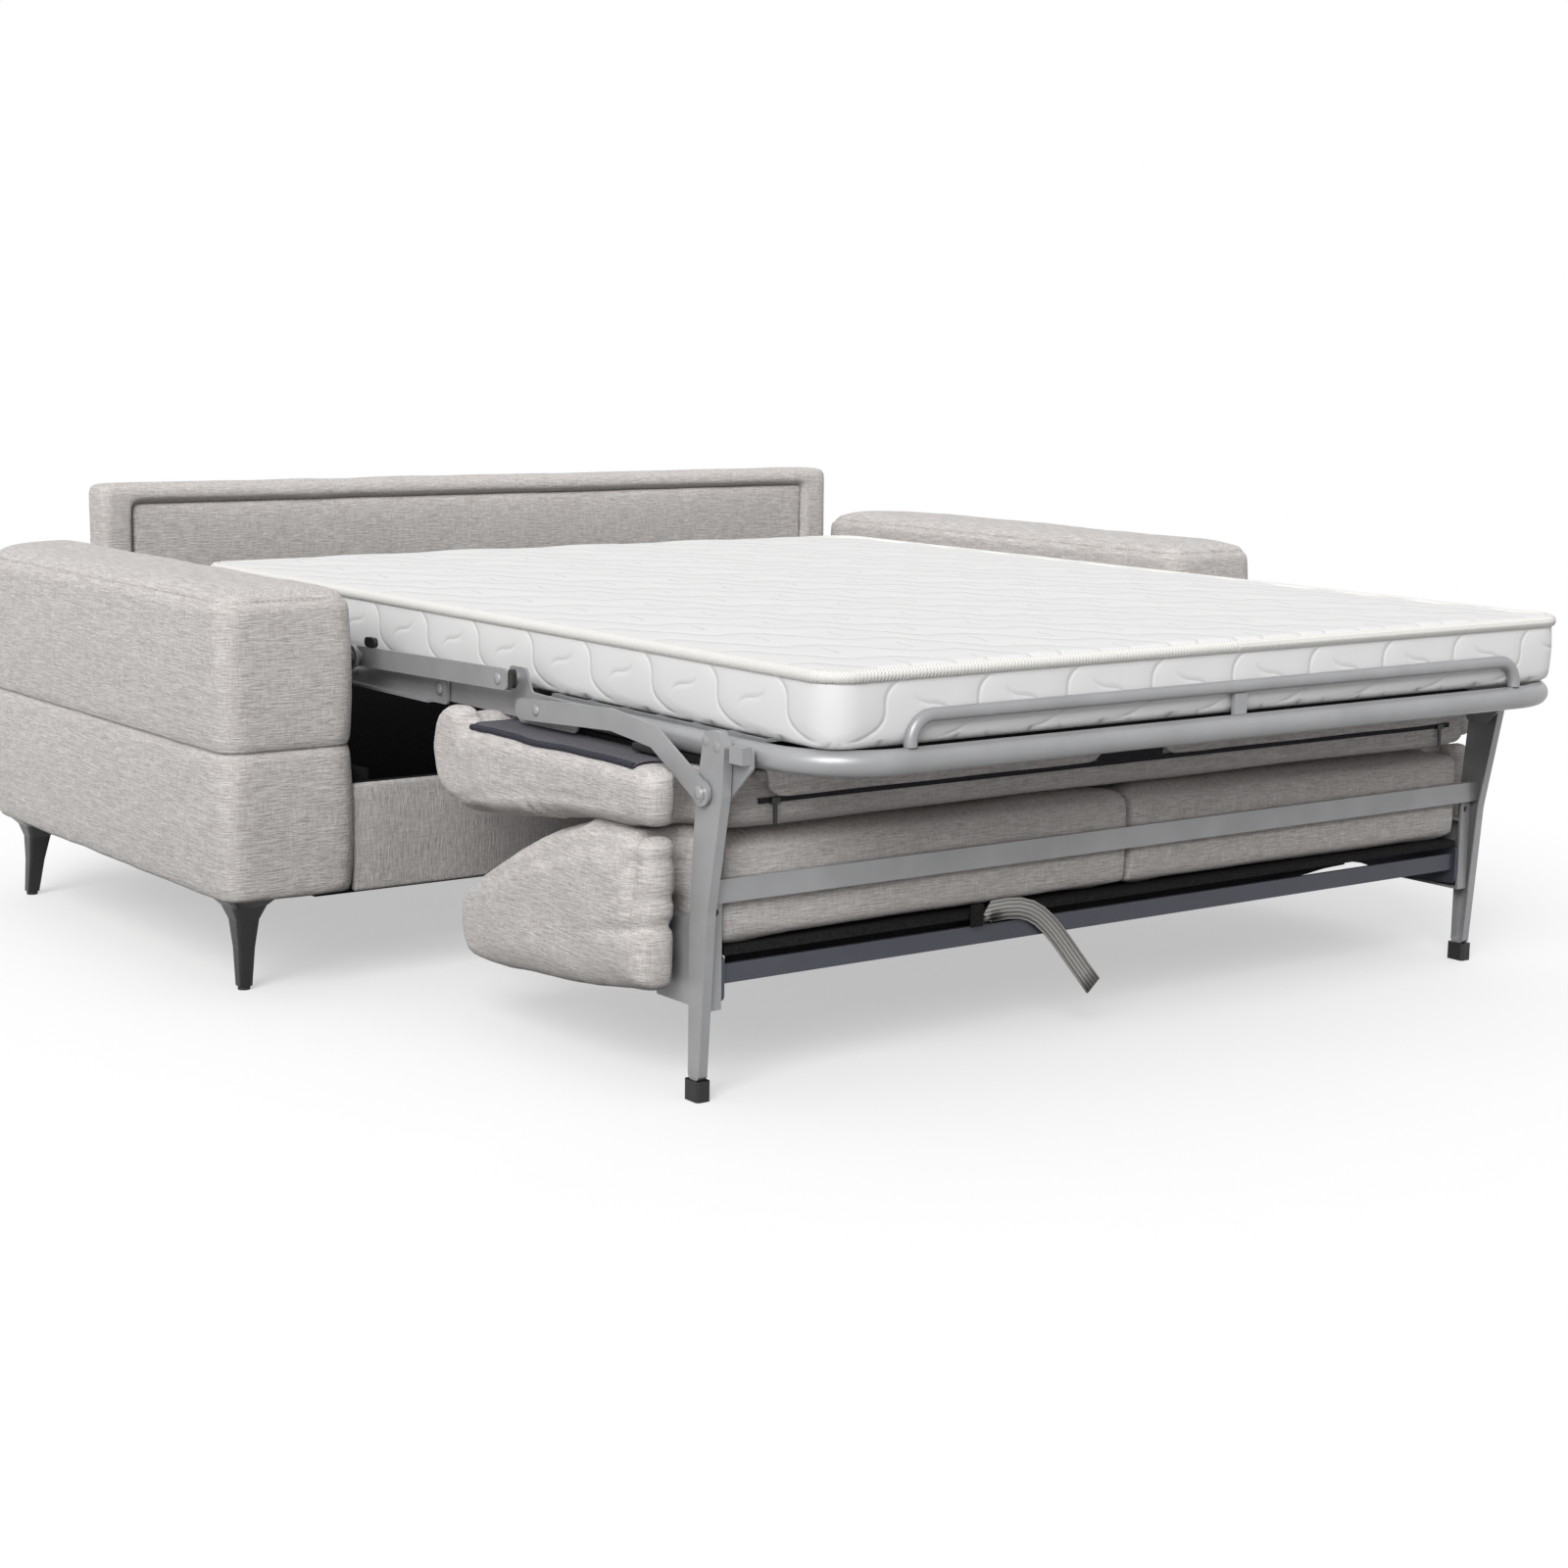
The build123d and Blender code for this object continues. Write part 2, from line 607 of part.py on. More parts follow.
def backrest():
    """What carries the back cushions: brackets on the legs, side plates, rods and a lined panel."""
    h = leg_pivot
    panel_low = back_underside - panel_thickness - weld_gap
    side_high = panel_low - weld_gap
    side_low = side_high - carrier_height
    bracket_x = leg_slot_inner + weld_gap
    bracket = block(bracket_x, leg_x - weld_gap, h[0] + 8, back_slot_end - 12,
                    side_low - 10, side_high + 45)
    bracket -= block(bracket_x - 1, leg_x - weld_gap - plate, h[0] + 8 + plate, back_slot_end - 11,
                     side_low - 10 + plate, side_high + 45 - plate)
    tongue_low = side_high + 45
    tongue_high = crossbar_low + crossbar_height
    tongue = block(bracket_x, leg_x - weld_gap, h[0] + 8, h[0] + 8 + plate, tongue_low, tongue_high)
    tongue_middle = (bracket_x + leg_x) / 2
    for share in (0.25, 0.55, 0.85):
        z = tongue_low + share * (tongue_high - tongue_low)
        tongue -= rod((tongue_middle, h[0], z), (0, 1, 0), 30, 5)
    save("backrest_brackets", *pair(bracket + tongue))
    side_x = leg_slot_inner - carrier_plate
    view = outline([(h[0] + 10, side_low), (h[0] + 120, side_low - 8), (h[0] + 430, side_high - 34),
                    (h[0] + 430, side_high), (h[0] + 10, side_high)], 8)
    for step in (150, 200, 250, 300):
        view -= disc((h[0] + step, side_high - 24), 7)
    save("backrest_side_plates", *pair(slab(view, side_x, leg_slot_inner)))
    span = side_x - weld_gap
    rods = [rod((-span, h[0] + step, side_high - 40 + 0.05 * step), (1, 0, 0), 2 * span, rod_radius)
            for step in (70, 160, 290)]
    stay = block(-span, span, h[0] + 16, h[0] + 22, side_high - 38, side_high - 12)
    save("backrest_rods", stay, *rods)
    save("backrest_panel", block(-span, span, back_middle_end, h[0] + 450, panel_low,
                                 back_underside - weld_gap))


def drawn_in(points, inset):
    """Corner points of a side view after every edge moves inwards, for corners listed anticlockwise."""
    moved = []
    count = len(points)
    for i in range(count):
        before = points[i - 1]
        here = points[i]
        after = points[(i + 1) % count]
        first = Vector(here[0] - before[0], here[1] - before[1]).normalized()
        second = Vector(after[0] - here[0], after[1] - here[1]).normalized()
        reach = inset / (1 + first.dot(second))
        moved.append((here[0] - reach * (first.Y + second.Y), here[1] + reach * (first.X + second.X)))
    return moved


def stuffed(points, x0, x1):
    """A stuffed form: a side view carried along X, drawn in towards both ends."""
    r = cushion_end_round
    reach = min(r, 0.24 * (x1 - x0))
    steps = ((0.0, 0.8), (0.3, 0.36), (0.9, 0.08), (2.0, 0.0))
    stations = [(x0 + a * reach, b * reach) for a, b in steps]
    stations += [(x1 - a * reach, b * reach) for a, b in reversed(steps)]
    views = []
    for x, inset in stations:
        views.append(side_plane(x) * outline(drawn_in(points, inset), r - 0.8 * inset))
    return loft(views, ruled=True)


def seat():
    """The bench seat, upside down under the foot of the open bed, with its board and zipped flaps."""
    board_high = bed_height - tube_radius - weld_gap
    board_low = board_high - seat_board_thickness
    span = leg_slot_inner
    save("seat_board", block(-span, span, seat_middle_end + 8, hinge_c[0] + 30, board_low, board_high))
    top = board_low - weld_gap
    points = [(seat_nose + 2, top - 40), (seat_nose - 12, top + 12), (seat_nose - 50, top + 31),
              (seat_nose - 96, top + 26), (seat_nose - 110, top), (seat_wing_end, top),
              (seat_wing_end, top - 82), (seat_nose - 408, top - 86), (seat_nose - 300, top - 99),
              (seat_nose - 170, top - 116), (seat_nose - 66, top - 121), (seat_nose - 14, top - 96)]
    cushion = stuffed(points, -cushion_half_width, cushion_half_width)
    slot = block(leg_slot_inner, leg_slot_outer, seat_wing_end - 1, seat_slot_end,
                 back_underside, bed_height)
    for room in pair(slot):
        cushion -= room
    frame_room = swing_x + swing_plate
    cushion -= block(-frame_room, frame_room, seat_nose - 116, seat_nose + 3,
                     bed_height - 0.5 * bar_width - 8, bed_height + 50)
    middle = block(-span + 2, span - 2, seat_middle_end, seat_wing_end + 40, top - 79, top - 6)
    middle = fillet(middle.faces().sort_by(Axis.Y)[0].edges(), 14)
    save("seat_cushion", cushion + middle)
    flaps(top)


def flaps(top):
    """Two cloth flaps over the seat's foot end, the zip under them and its two sliders."""
    face = seat_middle_end - weld_gap
    flap_low = top - 40
    flap_end = leg_slot_inner - 62
    flap = block(40, flap_end, face - flap_thickness, face, flap_low, top + weld_gap)
    save("seat_flaps", *pair(flap))
    zip_high = flap_low - 1
    tape = block(-flap_end - 12, flap_end + 12, face - 2, face, zip_high - zip_height, zip_high)
    save("zip_tape", tape)
    near = face - 2 - weld_gap
    park = flap_end - 13
    pull = block(park - 7, park + 7, near - 4, near, zip_high - zip_height - 1, zip_high)
    pull += block(park - 3, park + 3, near - 3, near - 1, zip_high - 36, zip_high - zip_height)
    save_pair("zip_slider", pull)


def back_cushions():
    """Two back cushions side by side, folded under the seat, with ears that hang past the carrier."""
    s = leg_pivot[0]
    u = back_underside
    top_line = [(s + 442, u + 54), (s + 328, u + 108), (s + 220, u + 140), (s + 150, u + 146)]
    body_view = [(s + 462, u + 40), *top_line, (back_ear_end + 30, u + 144), (back_ear_end + 30, u),
                 (s + 462, u)]
    ear_view = [(s + 541, u - 60), (s + 541, u - 12), (s + 515, u + 12), *top_line,
                (back_ear_end, u + 145), (back_ear_end, u - 58), (s + 190, u - 78),
                (s + 460, u - 102), (s + 522, u - 96)]
    body = stuffed(body_view, back_split / 2, ear_inner + 20)
    ear = stuffed(ear_view, ear_inner - 14, cushion_half_width)
    lip = block(back_split / 2 + 6, leg_slot_inner - 2, back_middle_end, back_ear_end + 60, u + 6, u + 136)
    lip = fillet(lip.faces().sort_by(Axis.Y)[0].edges(), 12)
    slot = block(leg_slot_inner, ear_inner, back_middle_end - 1, back_slot_end - 40, 0, bed_height)
    slot += block(leg_slot_inner, ear_inner, back_middle_end - 1, back_slot_end, 0, u + 62)
    save_pair("back_cushion", body + ear + lip - slot)


def pull_strap():
    """The cloth strap by which the bed is pulled, hanging out under the back cushions."""
    face = back_middle_end - weld_gap
    z = back_underside - panel_thickness / 2
    route = [(-290, z), (-205, z - 3), (-150, z - 38), (-65, z - 130)]
    line = FilletPolyline(*route, radius=30)
    ribbon = Plane.XZ.offset(-back(face)) * trace(line, strap_width)
    save("pull_strap", extrude(ribbon, strap_thickness))


def mattress_plan(z, inset):
    """Plan of the whole mattress at one height, drawn in by an inset."""
    length = mattress_head_place - mattress_foot_place
    centre = back((mattress_head_place + mattress_foot_place) / 2)
    size = (mattress_width - 2 * inset, length - 2 * inset)
    return Pos(0, centre, z) * RectangleRounded(*size, mattress_corner - 0.15 * inset)


def mattress():
    """One mattress in three lengths: head, fold and foot."""
    t = mattress_thickness
    shape = ((0, 5), (0.06, 1), (0.3, 0), (0.7, 0), (0.9, 4), (1, 14))
    plans = [mattress_plan(mattress_low + share * t, inset) for share, inset in shape]
    plans.append(mattress_plan(mattress_high + mattress_crown, 180))
    whole = loft(plans, ruled=True)
    head_front = bridge_pivot[0] + fold_room_head
    foot_back = hinge_c[0] - fold_room_foot
    cuts = (("mattress_head", head_front, mattress_head_place + 1),
            ("mattress_middle", foot_back + mattress_gap, head_front - mattress_gap),
            ("mattress_foot", mattress_foot_place - 1, foot_back))
    for name, s0, s1 in cuts:
        window = block(-mattress_width, mattress_width, s0, s1, mattress_low - 1, mattress_high + 50)
        save(name, whole & window)


os.makedirs("parts", exist_ok=True)
arms()
feet()
fixed_back()
apron()
seat_well()
swing_arms()
head_section()
bridge_section()
foot_section()
legs()
backrest()
seat()
back_cushions()
pull_strap()
mattress()
print("pivots", swing_base, rear_base, swing_top, link_rear, bridge_pivot, hinge_c, link_front, leg_pivot)
print("layers", bar_x, rail_x, leg_x, carrier_x, link_x, swing_x, mount_x, ledger_x, lining_x)
print("arm front at", arm_front)
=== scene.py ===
# %% [markdown]
# # A sofa bed, opened out
# The sofa's arms, back and apron stand still. A steel frame swings out of the seat well and carries a
# mattress. The seat and the back cushions hang upside down under the foot of the bed.
# The hard parts come from the CAD model. This file dresses them: cloth, paint, light and camera.

# %% Load the CAD frame
import json
import math

import bmesh
import bpy
from mathutils import Matrix, Vector, noise

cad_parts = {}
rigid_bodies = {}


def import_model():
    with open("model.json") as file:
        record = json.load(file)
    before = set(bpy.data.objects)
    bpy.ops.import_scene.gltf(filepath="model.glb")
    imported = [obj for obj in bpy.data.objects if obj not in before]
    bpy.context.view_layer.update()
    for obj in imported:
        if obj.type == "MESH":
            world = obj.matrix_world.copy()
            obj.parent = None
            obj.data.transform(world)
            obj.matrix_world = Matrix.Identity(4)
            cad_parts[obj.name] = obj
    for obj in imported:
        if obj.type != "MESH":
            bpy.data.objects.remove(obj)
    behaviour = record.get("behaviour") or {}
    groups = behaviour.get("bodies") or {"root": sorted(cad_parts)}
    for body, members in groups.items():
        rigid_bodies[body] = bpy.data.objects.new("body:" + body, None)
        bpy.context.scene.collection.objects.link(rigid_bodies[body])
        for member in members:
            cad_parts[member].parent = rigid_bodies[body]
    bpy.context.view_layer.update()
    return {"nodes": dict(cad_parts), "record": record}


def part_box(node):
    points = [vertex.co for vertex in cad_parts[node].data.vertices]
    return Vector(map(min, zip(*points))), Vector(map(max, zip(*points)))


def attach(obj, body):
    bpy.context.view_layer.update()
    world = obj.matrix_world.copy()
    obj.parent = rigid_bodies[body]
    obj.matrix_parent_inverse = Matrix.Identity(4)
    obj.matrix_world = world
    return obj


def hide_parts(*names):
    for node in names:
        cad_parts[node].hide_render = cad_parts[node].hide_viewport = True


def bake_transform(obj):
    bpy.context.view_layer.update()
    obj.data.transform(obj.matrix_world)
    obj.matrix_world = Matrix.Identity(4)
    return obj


for leftover in list(bpy.data.objects):
    bpy.data.objects.remove(leftover)
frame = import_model()
nodes = frame["nodes"]
scene = bpy.context.scene
scene.view_settings.view_transform = "Standard"
ARM_FRONT = -0.039

# %% [markdown]
# ## Camera
# The picture was taken from the left front, a little above the bed, with a fairly long lens. The place and
# the turn of the camera were measured from the picture's straight edges.

# %% Place the camera
YAW = 0.638111
PITCH = -0.163932
ROLL = 0.01385
LENS = 63.91
VIEWPOINT = (-2.7584, -3.6579 + ARM_FRONT, 1.0011)
forward = Vector((math.sin(YAW) * math.cos(PITCH), math.cos(YAW) * math.cos(PITCH), math.sin(PITCH)))
level = Vector((math.cos(YAW), -math.sin(YAW), 0))
upright = level.cross(forward)
right = level * math.cos(ROLL) + upright * math.sin(ROLL)
above = upright * math.cos(ROLL) - level * math.sin(ROLL)
camera = bpy.data.objects.new("camera", bpy.data.cameras.new("camera"))
scene.collection.objects.link(camera)
camera.data.lens = LENS
camera.data.sensor_width = 36
turn = Matrix((right, above, -forward)).transposed().to_4x4()
camera.matrix_world = Matrix.Translation(VIEWPOINT) @ turn
scene.camera = camera
print("camera at", camera.location)

# %% [markdown]
# ## Sums on sockets
# Shader nodes are easier to read as arithmetic. A small class wraps a socket, so that `1 - mask * 0.5` adds
# its own Math nodes. A second class is the finish being built, and its one method adds any other node.

# %% Socket arithmetic
class Sum:
    def __init__(self, finish, socket):
        self.finish = finish
        self.socket = socket

    def math(self, operation, *others):
        values = dict(enumerate((self, *others)))
        return self.finish.node("ShaderNodeMath", {"operation": operation}, values)

    def __add__(self, other):
        return self.math("ADD", other)

    def __sub__(self, other):
        return self.math("SUBTRACT", other)

    def __mul__(self, other):
        return self.math("MULTIPLY", other)

    def __truediv__(self, other):
        return self.math("DIVIDE", other)

    def __neg__(self):
        return self * -1.0

    def __rsub__(self, other):
        return self * -1.0 + other

    __radd__ = __add__
    __rmul__ = __mul__

    def near(self, width):
        """1 on a line where the value is 0, falling to 0 at the width."""
        return (1.0 - self.math("ABSOLUTE") / width).math("MAXIMUM", 0.0)

    def step(self, edge):
        return self.math("GREATER_THAN", edge)

    def clamped(self):
        """The value, held between 0 and 1."""
        return self.math("MAXIMUM", 0.0).math("MINIMUM", 1.0)


class Graph:
    def __init__(self, tree):
        self.tree = tree

    def put(self, value, socket):
        if isinstance(value, Sum):
            self.tree.links.new(value.socket, socket)
        else:
            socket.default_value = value

    def node(self, kind, settings, sockets, out=0):
        made = self.tree.nodes.new(kind)
        for key, value in settings.items():
            if key == "stops":
                elements = made.color_ramp.elements
                while len(elements) < len(value):
                    elements.new(0.5)
                for stop, (place, colour) in zip(elements, value):
                    stop.position = place
                    stop.color = (*colour, 1)
            else:
                setattr(made, key, value)
        for key, value in sockets.items():
            self.put(value, made.inputs[key])
        return Sum(self, made.outputs[out])


class Finish(Graph):
    def __init__(self, name, **sockets):
        self.material = bpy.data.materials.new(name)
        self.material.use_nodes = True
        super().__init__(self.material.node_tree)
        self.surface = self.tree.nodes["Principled BSDF"]
        for key, value in sockets.items():
            self.surface.inputs[key.replace("_", " ")].default_value = value

    def place(self):
        return self.node("ShaderNodeTexCoord", {}, {}, "Object")

    def stretched(self, scale):
        return self.node("ShaderNodeMapping", {}, {"Vector": self.place(), "Scale": scale})

    def speckle(self, scale, detail=2.0):
        sockets = {"Vector": self.stretched(scale), "Scale": 1.0, "Detail": detail}
        return self.node("ShaderNodeTexNoise", {}, sockets)

    def axes(self):
        return [self.node("ShaderNodeSeparateXYZ", {}, {"Vector": self.place()}, axis) for axis in "XYZ"]

    def ramp(self, value, *stops):
        return self.node("ShaderNodeValToRGB", {"stops": stops}, {"Fac": value})

    def blend(self, share, a, b):
        return self.node("ShaderNodeMix", {"data_type": "RGBA"}, {"Factor": share, 6: a, 7: b}, 2)

    def dress(self, colour=None, roughness=None, height=None, relief=0.001, strength=1.0):
        if colour is not None:
            self.put(colour, self.surface.inputs["Base Color"])
        if roughness is not None:
            self.put(roughness, self.surface.inputs["Roughness"])
        if height is not None:
            sockets = {"Height": height, "Distance": relief, "Strength": strength}
            self.put(self.node("ShaderNodeBump", {}, sockets), self.surface.inputs["Normal"])
        return self.material


print("socket arithmetic ready")

# %% [markdown]
# ## Upholstery cloth
# The cover is a thick grey cloth with slubs: long soft thickenings in its threads. One stretched noise gives
# the slubs, a finer one the threads beside them and a third the threads that cross. All three lift the
# surface as well as colour it. On level faces the threads run from front to back, so the finish looks which
# way a face points and takes another pattern there.

# %% Slub cloth
SEAM = 0.374
SEAM_WIDE = 0.0035
TOP_SEAM = 0.594
THREAD_WIDE = 0.0022
STITCH_LONG = 0.009
CLOTH_SHADES = ((0.385, 0.355, 0.338), (0.535, 0.505, 0.487), (0.675, 0.65, 0.634))
SEAM_PAINTED_SHADE = (0.09, 0.085, 0.08, 1)
LYING_THREADS = ((32, 32, 460), (95, 95, 1000), (480, 480, 60))
STANDING_THREADS = ((460, 460, 32), (1000, 1000, 95), (60, 60, 480))


def shaded(colour, share):
    return tuple(share * c for c in colour)


def slub_cloth(name, threads, painted_light_share=1.0, sewn=False):
    slub, fine, cross = threads
    cloth = Finish(name, Roughness=0.92, Sheen_Weight=0.2, Sheen_Roughness=0.5, Specular_IOR_Level=0.2)
    upright = cloth.speckle(slub, 2.0) * 0.42 + cloth.speckle(fine, 1.0) * 0.36
    upright = upright + cloth.speckle(cross, 1.0) * 0.22
    level = cloth.speckle((460, 32, 460), 2.0) * 0.6 + cloth.speckle((1000, 95, 1000), 1.0) * 0.4
    facing = cloth.node("ShaderNodeTexCoord", {}, {}, "Normal")
    tilt = cloth.node("ShaderNodeSeparateXYZ", {}, {"Vector": facing}, "Z").math("ABSOLUTE")
    top = ((tilt - 0.6) * 5.0).clamped()
    fleck = upright * (1.0 - top) + level * top
    # A share above 1 makes the whole cloth lighter as painted light, and one below 1 makes it darker as
    # painted shade.
    dark, middle, light = [shaded(colour, painted_light_share) for colour in CLOTH_SHADES]
    colour = cloth.ramp(fleck, (0.36, dark), (0.5, middle), (0.63, light))
    if sewn:
        x, y, z = cloth.axes()
        groove = (z - SEAM).near(SEAM_WIDE)
        dash = ((x + y) * (2 * math.pi / STITCH_LONG)).math("SINE").step(-0.3)
        thread = (z - TOP_SEAM).near(THREAD_WIDE) * dash
        # Painted shade: the seam groove is darkened, and the dashes of the top stitching get the same dark
        # colour, partly for their thread and partly as painted shade.
        colour = cloth.blend(groove * 0.5 + thread * 0.3, colour, SEAM_PAINTED_SHADE)
        fleck = fleck - groove * 1.2 - thread * 0.4
    return cloth.dress(colour, None, fleck, 0.004, 0.6)


arm_cloth = slub_cloth("arm_slub_cloth", LYING_THREADS, sewn=True)
side_cloth = slub_cloth("side_slub_cloth", LYING_THREADS)
# Painted light: the flaps wear the same cloth made a little lighter. Painted shade: the apron wears it made
# darker.
flap_cloth_painted_light = slub_cloth("flap_slub_cloth_painted_light", LYING_THREADS, 1.06)
apron_cloth_painted_shade = slub_cloth("apron_slub_cloth_painted_shade", STANDING_THREADS, 0.88)
print("cloth", arm_cloth.name, side_cloth.name, apron_cloth_painted_shade.name)

# %% [markdown]
# ## Linings, webbing and zip tape
# The unseen sides wear a thin black non-woven cloth. The bench seat is lined with a slate one.

# %% Lining cloths
def lining_cloth(name, colour, light):
    cloth = Finish(name, Roughness=0.95, Specular_IOR_Level=0.15)
    fibres = cloth.speckle((300, 300, 300), 3.0)
    return cloth.dress(cloth.ramp(fibres, (0.3, colour), (0.75, light)), None, fibres, 0.001, 0.4)


black_cloth = lining_cloth("black_lining", (0.008, 0.008, 0.008), (0.024, 0.024, 0.024))
navy_cloth = lining_cloth("navy_piping", (0.03, 0.031, 0.042), (0.06, 0.06, 0.078))
slate_cloth = lining_cloth("slate_lining", (0.085, 0.083, 0.095), (0.14, 0.135, 0.15))
zip_cloth = lining_cloth("zip_tape", (0.02, 0.02, 0.024), (0.05, 0.05, 0.055))
strap_finish = Finish("strap_webbing", Roughness=0.85)
across = strap_finish.node("ShaderNodeUVMap", {"uv_map": "run"}, {})
bands = strap_finish.node("ShaderNodeSeparateXYZ", {}, {"Vector": across}, "X")
ribs = (bands * (10 * math.pi)).math("COSINE") * 0.5 + 0.5
nap = strap_finish.speckle((700, 700, 700), 2.0)
weave = ribs * 0.7 + nap * 0.5
# Painted shade and painted highlight: the colour is darker between the ribs and lighter on them. The nap
# adds a tone that differs at random.
webbing_nap_and_painted_shade = strap_finish.ramp(weave, (0.2, (0.2, 0.195, 0.185)), (0.9, (0.52, 0.505, 0.48)))
webbing = strap_finish.dress(webbing_nap_and_painted_shade, None, weave, 0.002, 0.7)
print("linings", black_cloth.name, slate_cloth.name, webbing.name)

# %% [markdown]
# ## Steel, zinc and plastic
# The frame is powder coated in a satin grey: smooth, with a faint orange-peel and a wide highlight. Pins
# and bolts are plated. Caps and buffers are moulded in black.

# %% Hard finishes
def painted(name, colour, roughness):
    paint = Finish(name, Metallic=0.25, Specular_IOR_Level=0.5)
    peel = paint.speckle((600, 600, 600), 2.0)
    cloud = paint.speckle((14, 14, 14), 3.0)
    shade = paint.ramp(cloud, (0.3, shaded(colour, 0.9)), (0.7, shaded(colour, 1.06)))
    return paint.dress(shade, peel * 0.12 + (roughness - 0.06), peel, 0.0004, 0.25)


def plated(name):
    zinc = Finish(name, Metallic=1.0)
    brush = zinc.speckle((900, 300, 300), 2.0)
    shade = zinc.ramp(brush, (0.3, (0.5, 0.5, 0.5)), (0.7, (0.66, 0.66, 0.65)))
    return zinc.dress(shade, brush * 0.2 + 0.22)


def moulded(name, colour, roughness, grain):
    plastic = Finish(name, Specular_IOR_Level=0.5)
    spark = plastic.speckle((grain, grain, grain), 2.0)
    shade = plastic.ramp(spark, (0.3, shaded(colour, 0.8)), (0.7, shaded(colour, 1.2)))
    return plastic.dress(shade, spark * 0.15 + (roughness - 0.07), spark, 0.0005, 0.3)


def sawn_board(name):
    board = Finish(name, Roughness=0.75)
    growth = board.speckle((6, 120, 120), 4.0)
    shade = board.ramp(growth, (0.3, (0.42, 0.29, 0.17)), (0.7, (0.6, 0.45, 0.29)))
    return board.dress(shade, None, growth, 0.001, 0.3)


steel = painted("grey_steel", (0.345, 0.347, 0.354), 0.36)
dark_steel = painted("dark_steel", (0.066, 0.07, 0.09), 0.4)
wire = painted("net_wire", (0.26, 0.265, 0.27), 0.42)
zinc = plated("zinc_plate")
plastic = moulded("black_plastic", (0.012, 0.012, 0.012), 0.5, 700)
foot_black = moulded("satin_black_foot", (0.008, 0.008, 0.008), 0.3, 260)
timber = sawn_board("frame_timber")
finishes = {
    "sofa_fabric": side_cloth, "black_lining": black_cloth, "zip_cloth": zip_cloth, "strap_webbing": webbing,
    "grey_steel": steel, "dark_steel": dark_steel, "net_wire": wire, "zinc": zinc, "plastic": plastic,
    "black_foot": foot_black, "timber": timber, "mattress_ticking": side_cloth,
}
slots = {part["node"]: part["material_slot"] for part in frame["record"]["subparts"]}
for name, node in nodes.items():
    node.data.materials.clear()
    node.data.materials.append(finishes[slots[name]])
print("dressed", len(slots), "nodes")

# %% [markdown]
# ## Helpers for soft pieces
# A stuffed piece starts as a welded copy of its CAD solid, because that is where it belongs. A voxel remesh
# gives it even quads, smoothing rounds its edges, and a function of the place pushes points in and out for
# seams, crowns and creases.

# %% Soft piece helpers
def new_piece(name, bm):
    mesh = bpy.data.meshes.new(name)
    bmesh.ops.recalc_face_normals(bm, faces=bm.faces)
    bm.to_mesh(mesh)
    bm.free()
    piece = bpy.data.objects.new(name, mesh)
    scene.collection.objects.link(piece)
    return piece


def settle(piece):
    """Make what the modifiers show the piece's own mesh."""
    bpy.context.view_layer.update()
    shown = piece.evaluated_get(bpy.context.evaluated_depsgraph_get())
    mesh = bpy.data.meshes.new_from_object(shown)
    piece.modifiers.clear()
    piece.data = mesh


def relax(piece, rounds):
    smooth = piece.modifiers.new("easing", "SMOOTH")
    smooth.factor = 0.5
    smooth.iterations = rounds
    settle(piece)


def soften(piece, voxel, rounds):
    """Even quads, then smoothing."""
    remesh = piece.modifiers.new("even_quads", "REMESH")
    remesh.mode = "VOXEL"
    remesh.voxel_size = voxel
    relax(piece, rounds)
    return piece


def soft_copy(name, source, voxel, rounds):
    bm = bmesh.new()
    bm.from_mesh(nodes[source].data)
    bmesh.ops.remove_doubles(bm, verts=bm.verts, dist=1e-5)
    return soften(new_piece(name, bm), voxel, rounds)


def mould(piece, depth):
    """Push every point along its normal by depth(place, normal), in metres."""
    bm = bmesh.new()
    bm.from_mesh(piece.data)
    bm.normal_update()
    pushes = [v.normal * depth(v.co, v.normal) for v in bm.verts]
    for v, push in zip(bm.verts, pushes):
        v.co += push
    bm.to_mesh(piece.data)
    bm.free()


DRAWN_IN = 0.2
EASE = 9


def swell(piece, most, pressure=4.0):
    """Stuff the piece with Cloth pressure, and let no point move further than the most."""
    before = [(v.co.copy(), v.normal.copy()) for v in piece.data.vertices]
    cloth = piece.modifiers.new("stuffing", "CLOTH")
    cloth.settings.quality = 4
    cloth.settings.use_pressure = True
    cloth.settings.uniform_pressure_force = pressure
    cloth.settings.effector_weights.gravity = 0
    for step in range(1, 21):
        scene.frame_set(step)
    settle(piece)
    scene.frame_set(1)
    for v, (old, normal) in zip(piece.data.vertices, before):
        move = v.co - old
        limit = most if move.dot(normal) > 0 else DRAWN_IN * most
        if move.length > limit:
            v.co = old + move * (limit / move.length)
    relax(piece, EASE)


def finish_piece(piece, material, *replaced, body=None, slot=None):
    piece.data.materials.clear()
    piece.data.materials.append(material)
    for face in piece.data.polygons:
        face.use_smooth = True
    if replaced:
        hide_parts(*replaced)
    if body:
        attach(piece, body)
    print(piece.name, len(piece.data.polygons), "faces")
    return piece


def dip(distance, width):
    """A soft groove profile: 1 on the line, 0 well away from it."""
    return math.exp(-(distance / width) ** 2)


print("helpers ready")

# %% [markdown]
# ## Arms
# Each arm is a box of foam in cloth. A seam runs round it at mid height, and a top-stitched seam round the
# edge of its domed top. The cloth is tight on the seams and swells between them.

# %% Arms
PULL_WIDE = 0.006
PULL_DEEP = -0.004


def arm_depth(place, normal):
    wave = noise.noise(place * 7.0) * 0.002 + noise.noise(place * 19.0) * 0.0008
    seam = dip(place.z - SEAM, PULL_WIDE) * PULL_DEEP * (1 - abs(normal.z))
    welt = dip(place.z - TOP_SEAM, PULL_WIDE) * PULL_DEEP * (1 - 0.7 * abs(normal.z))
    return wave + seam + welt


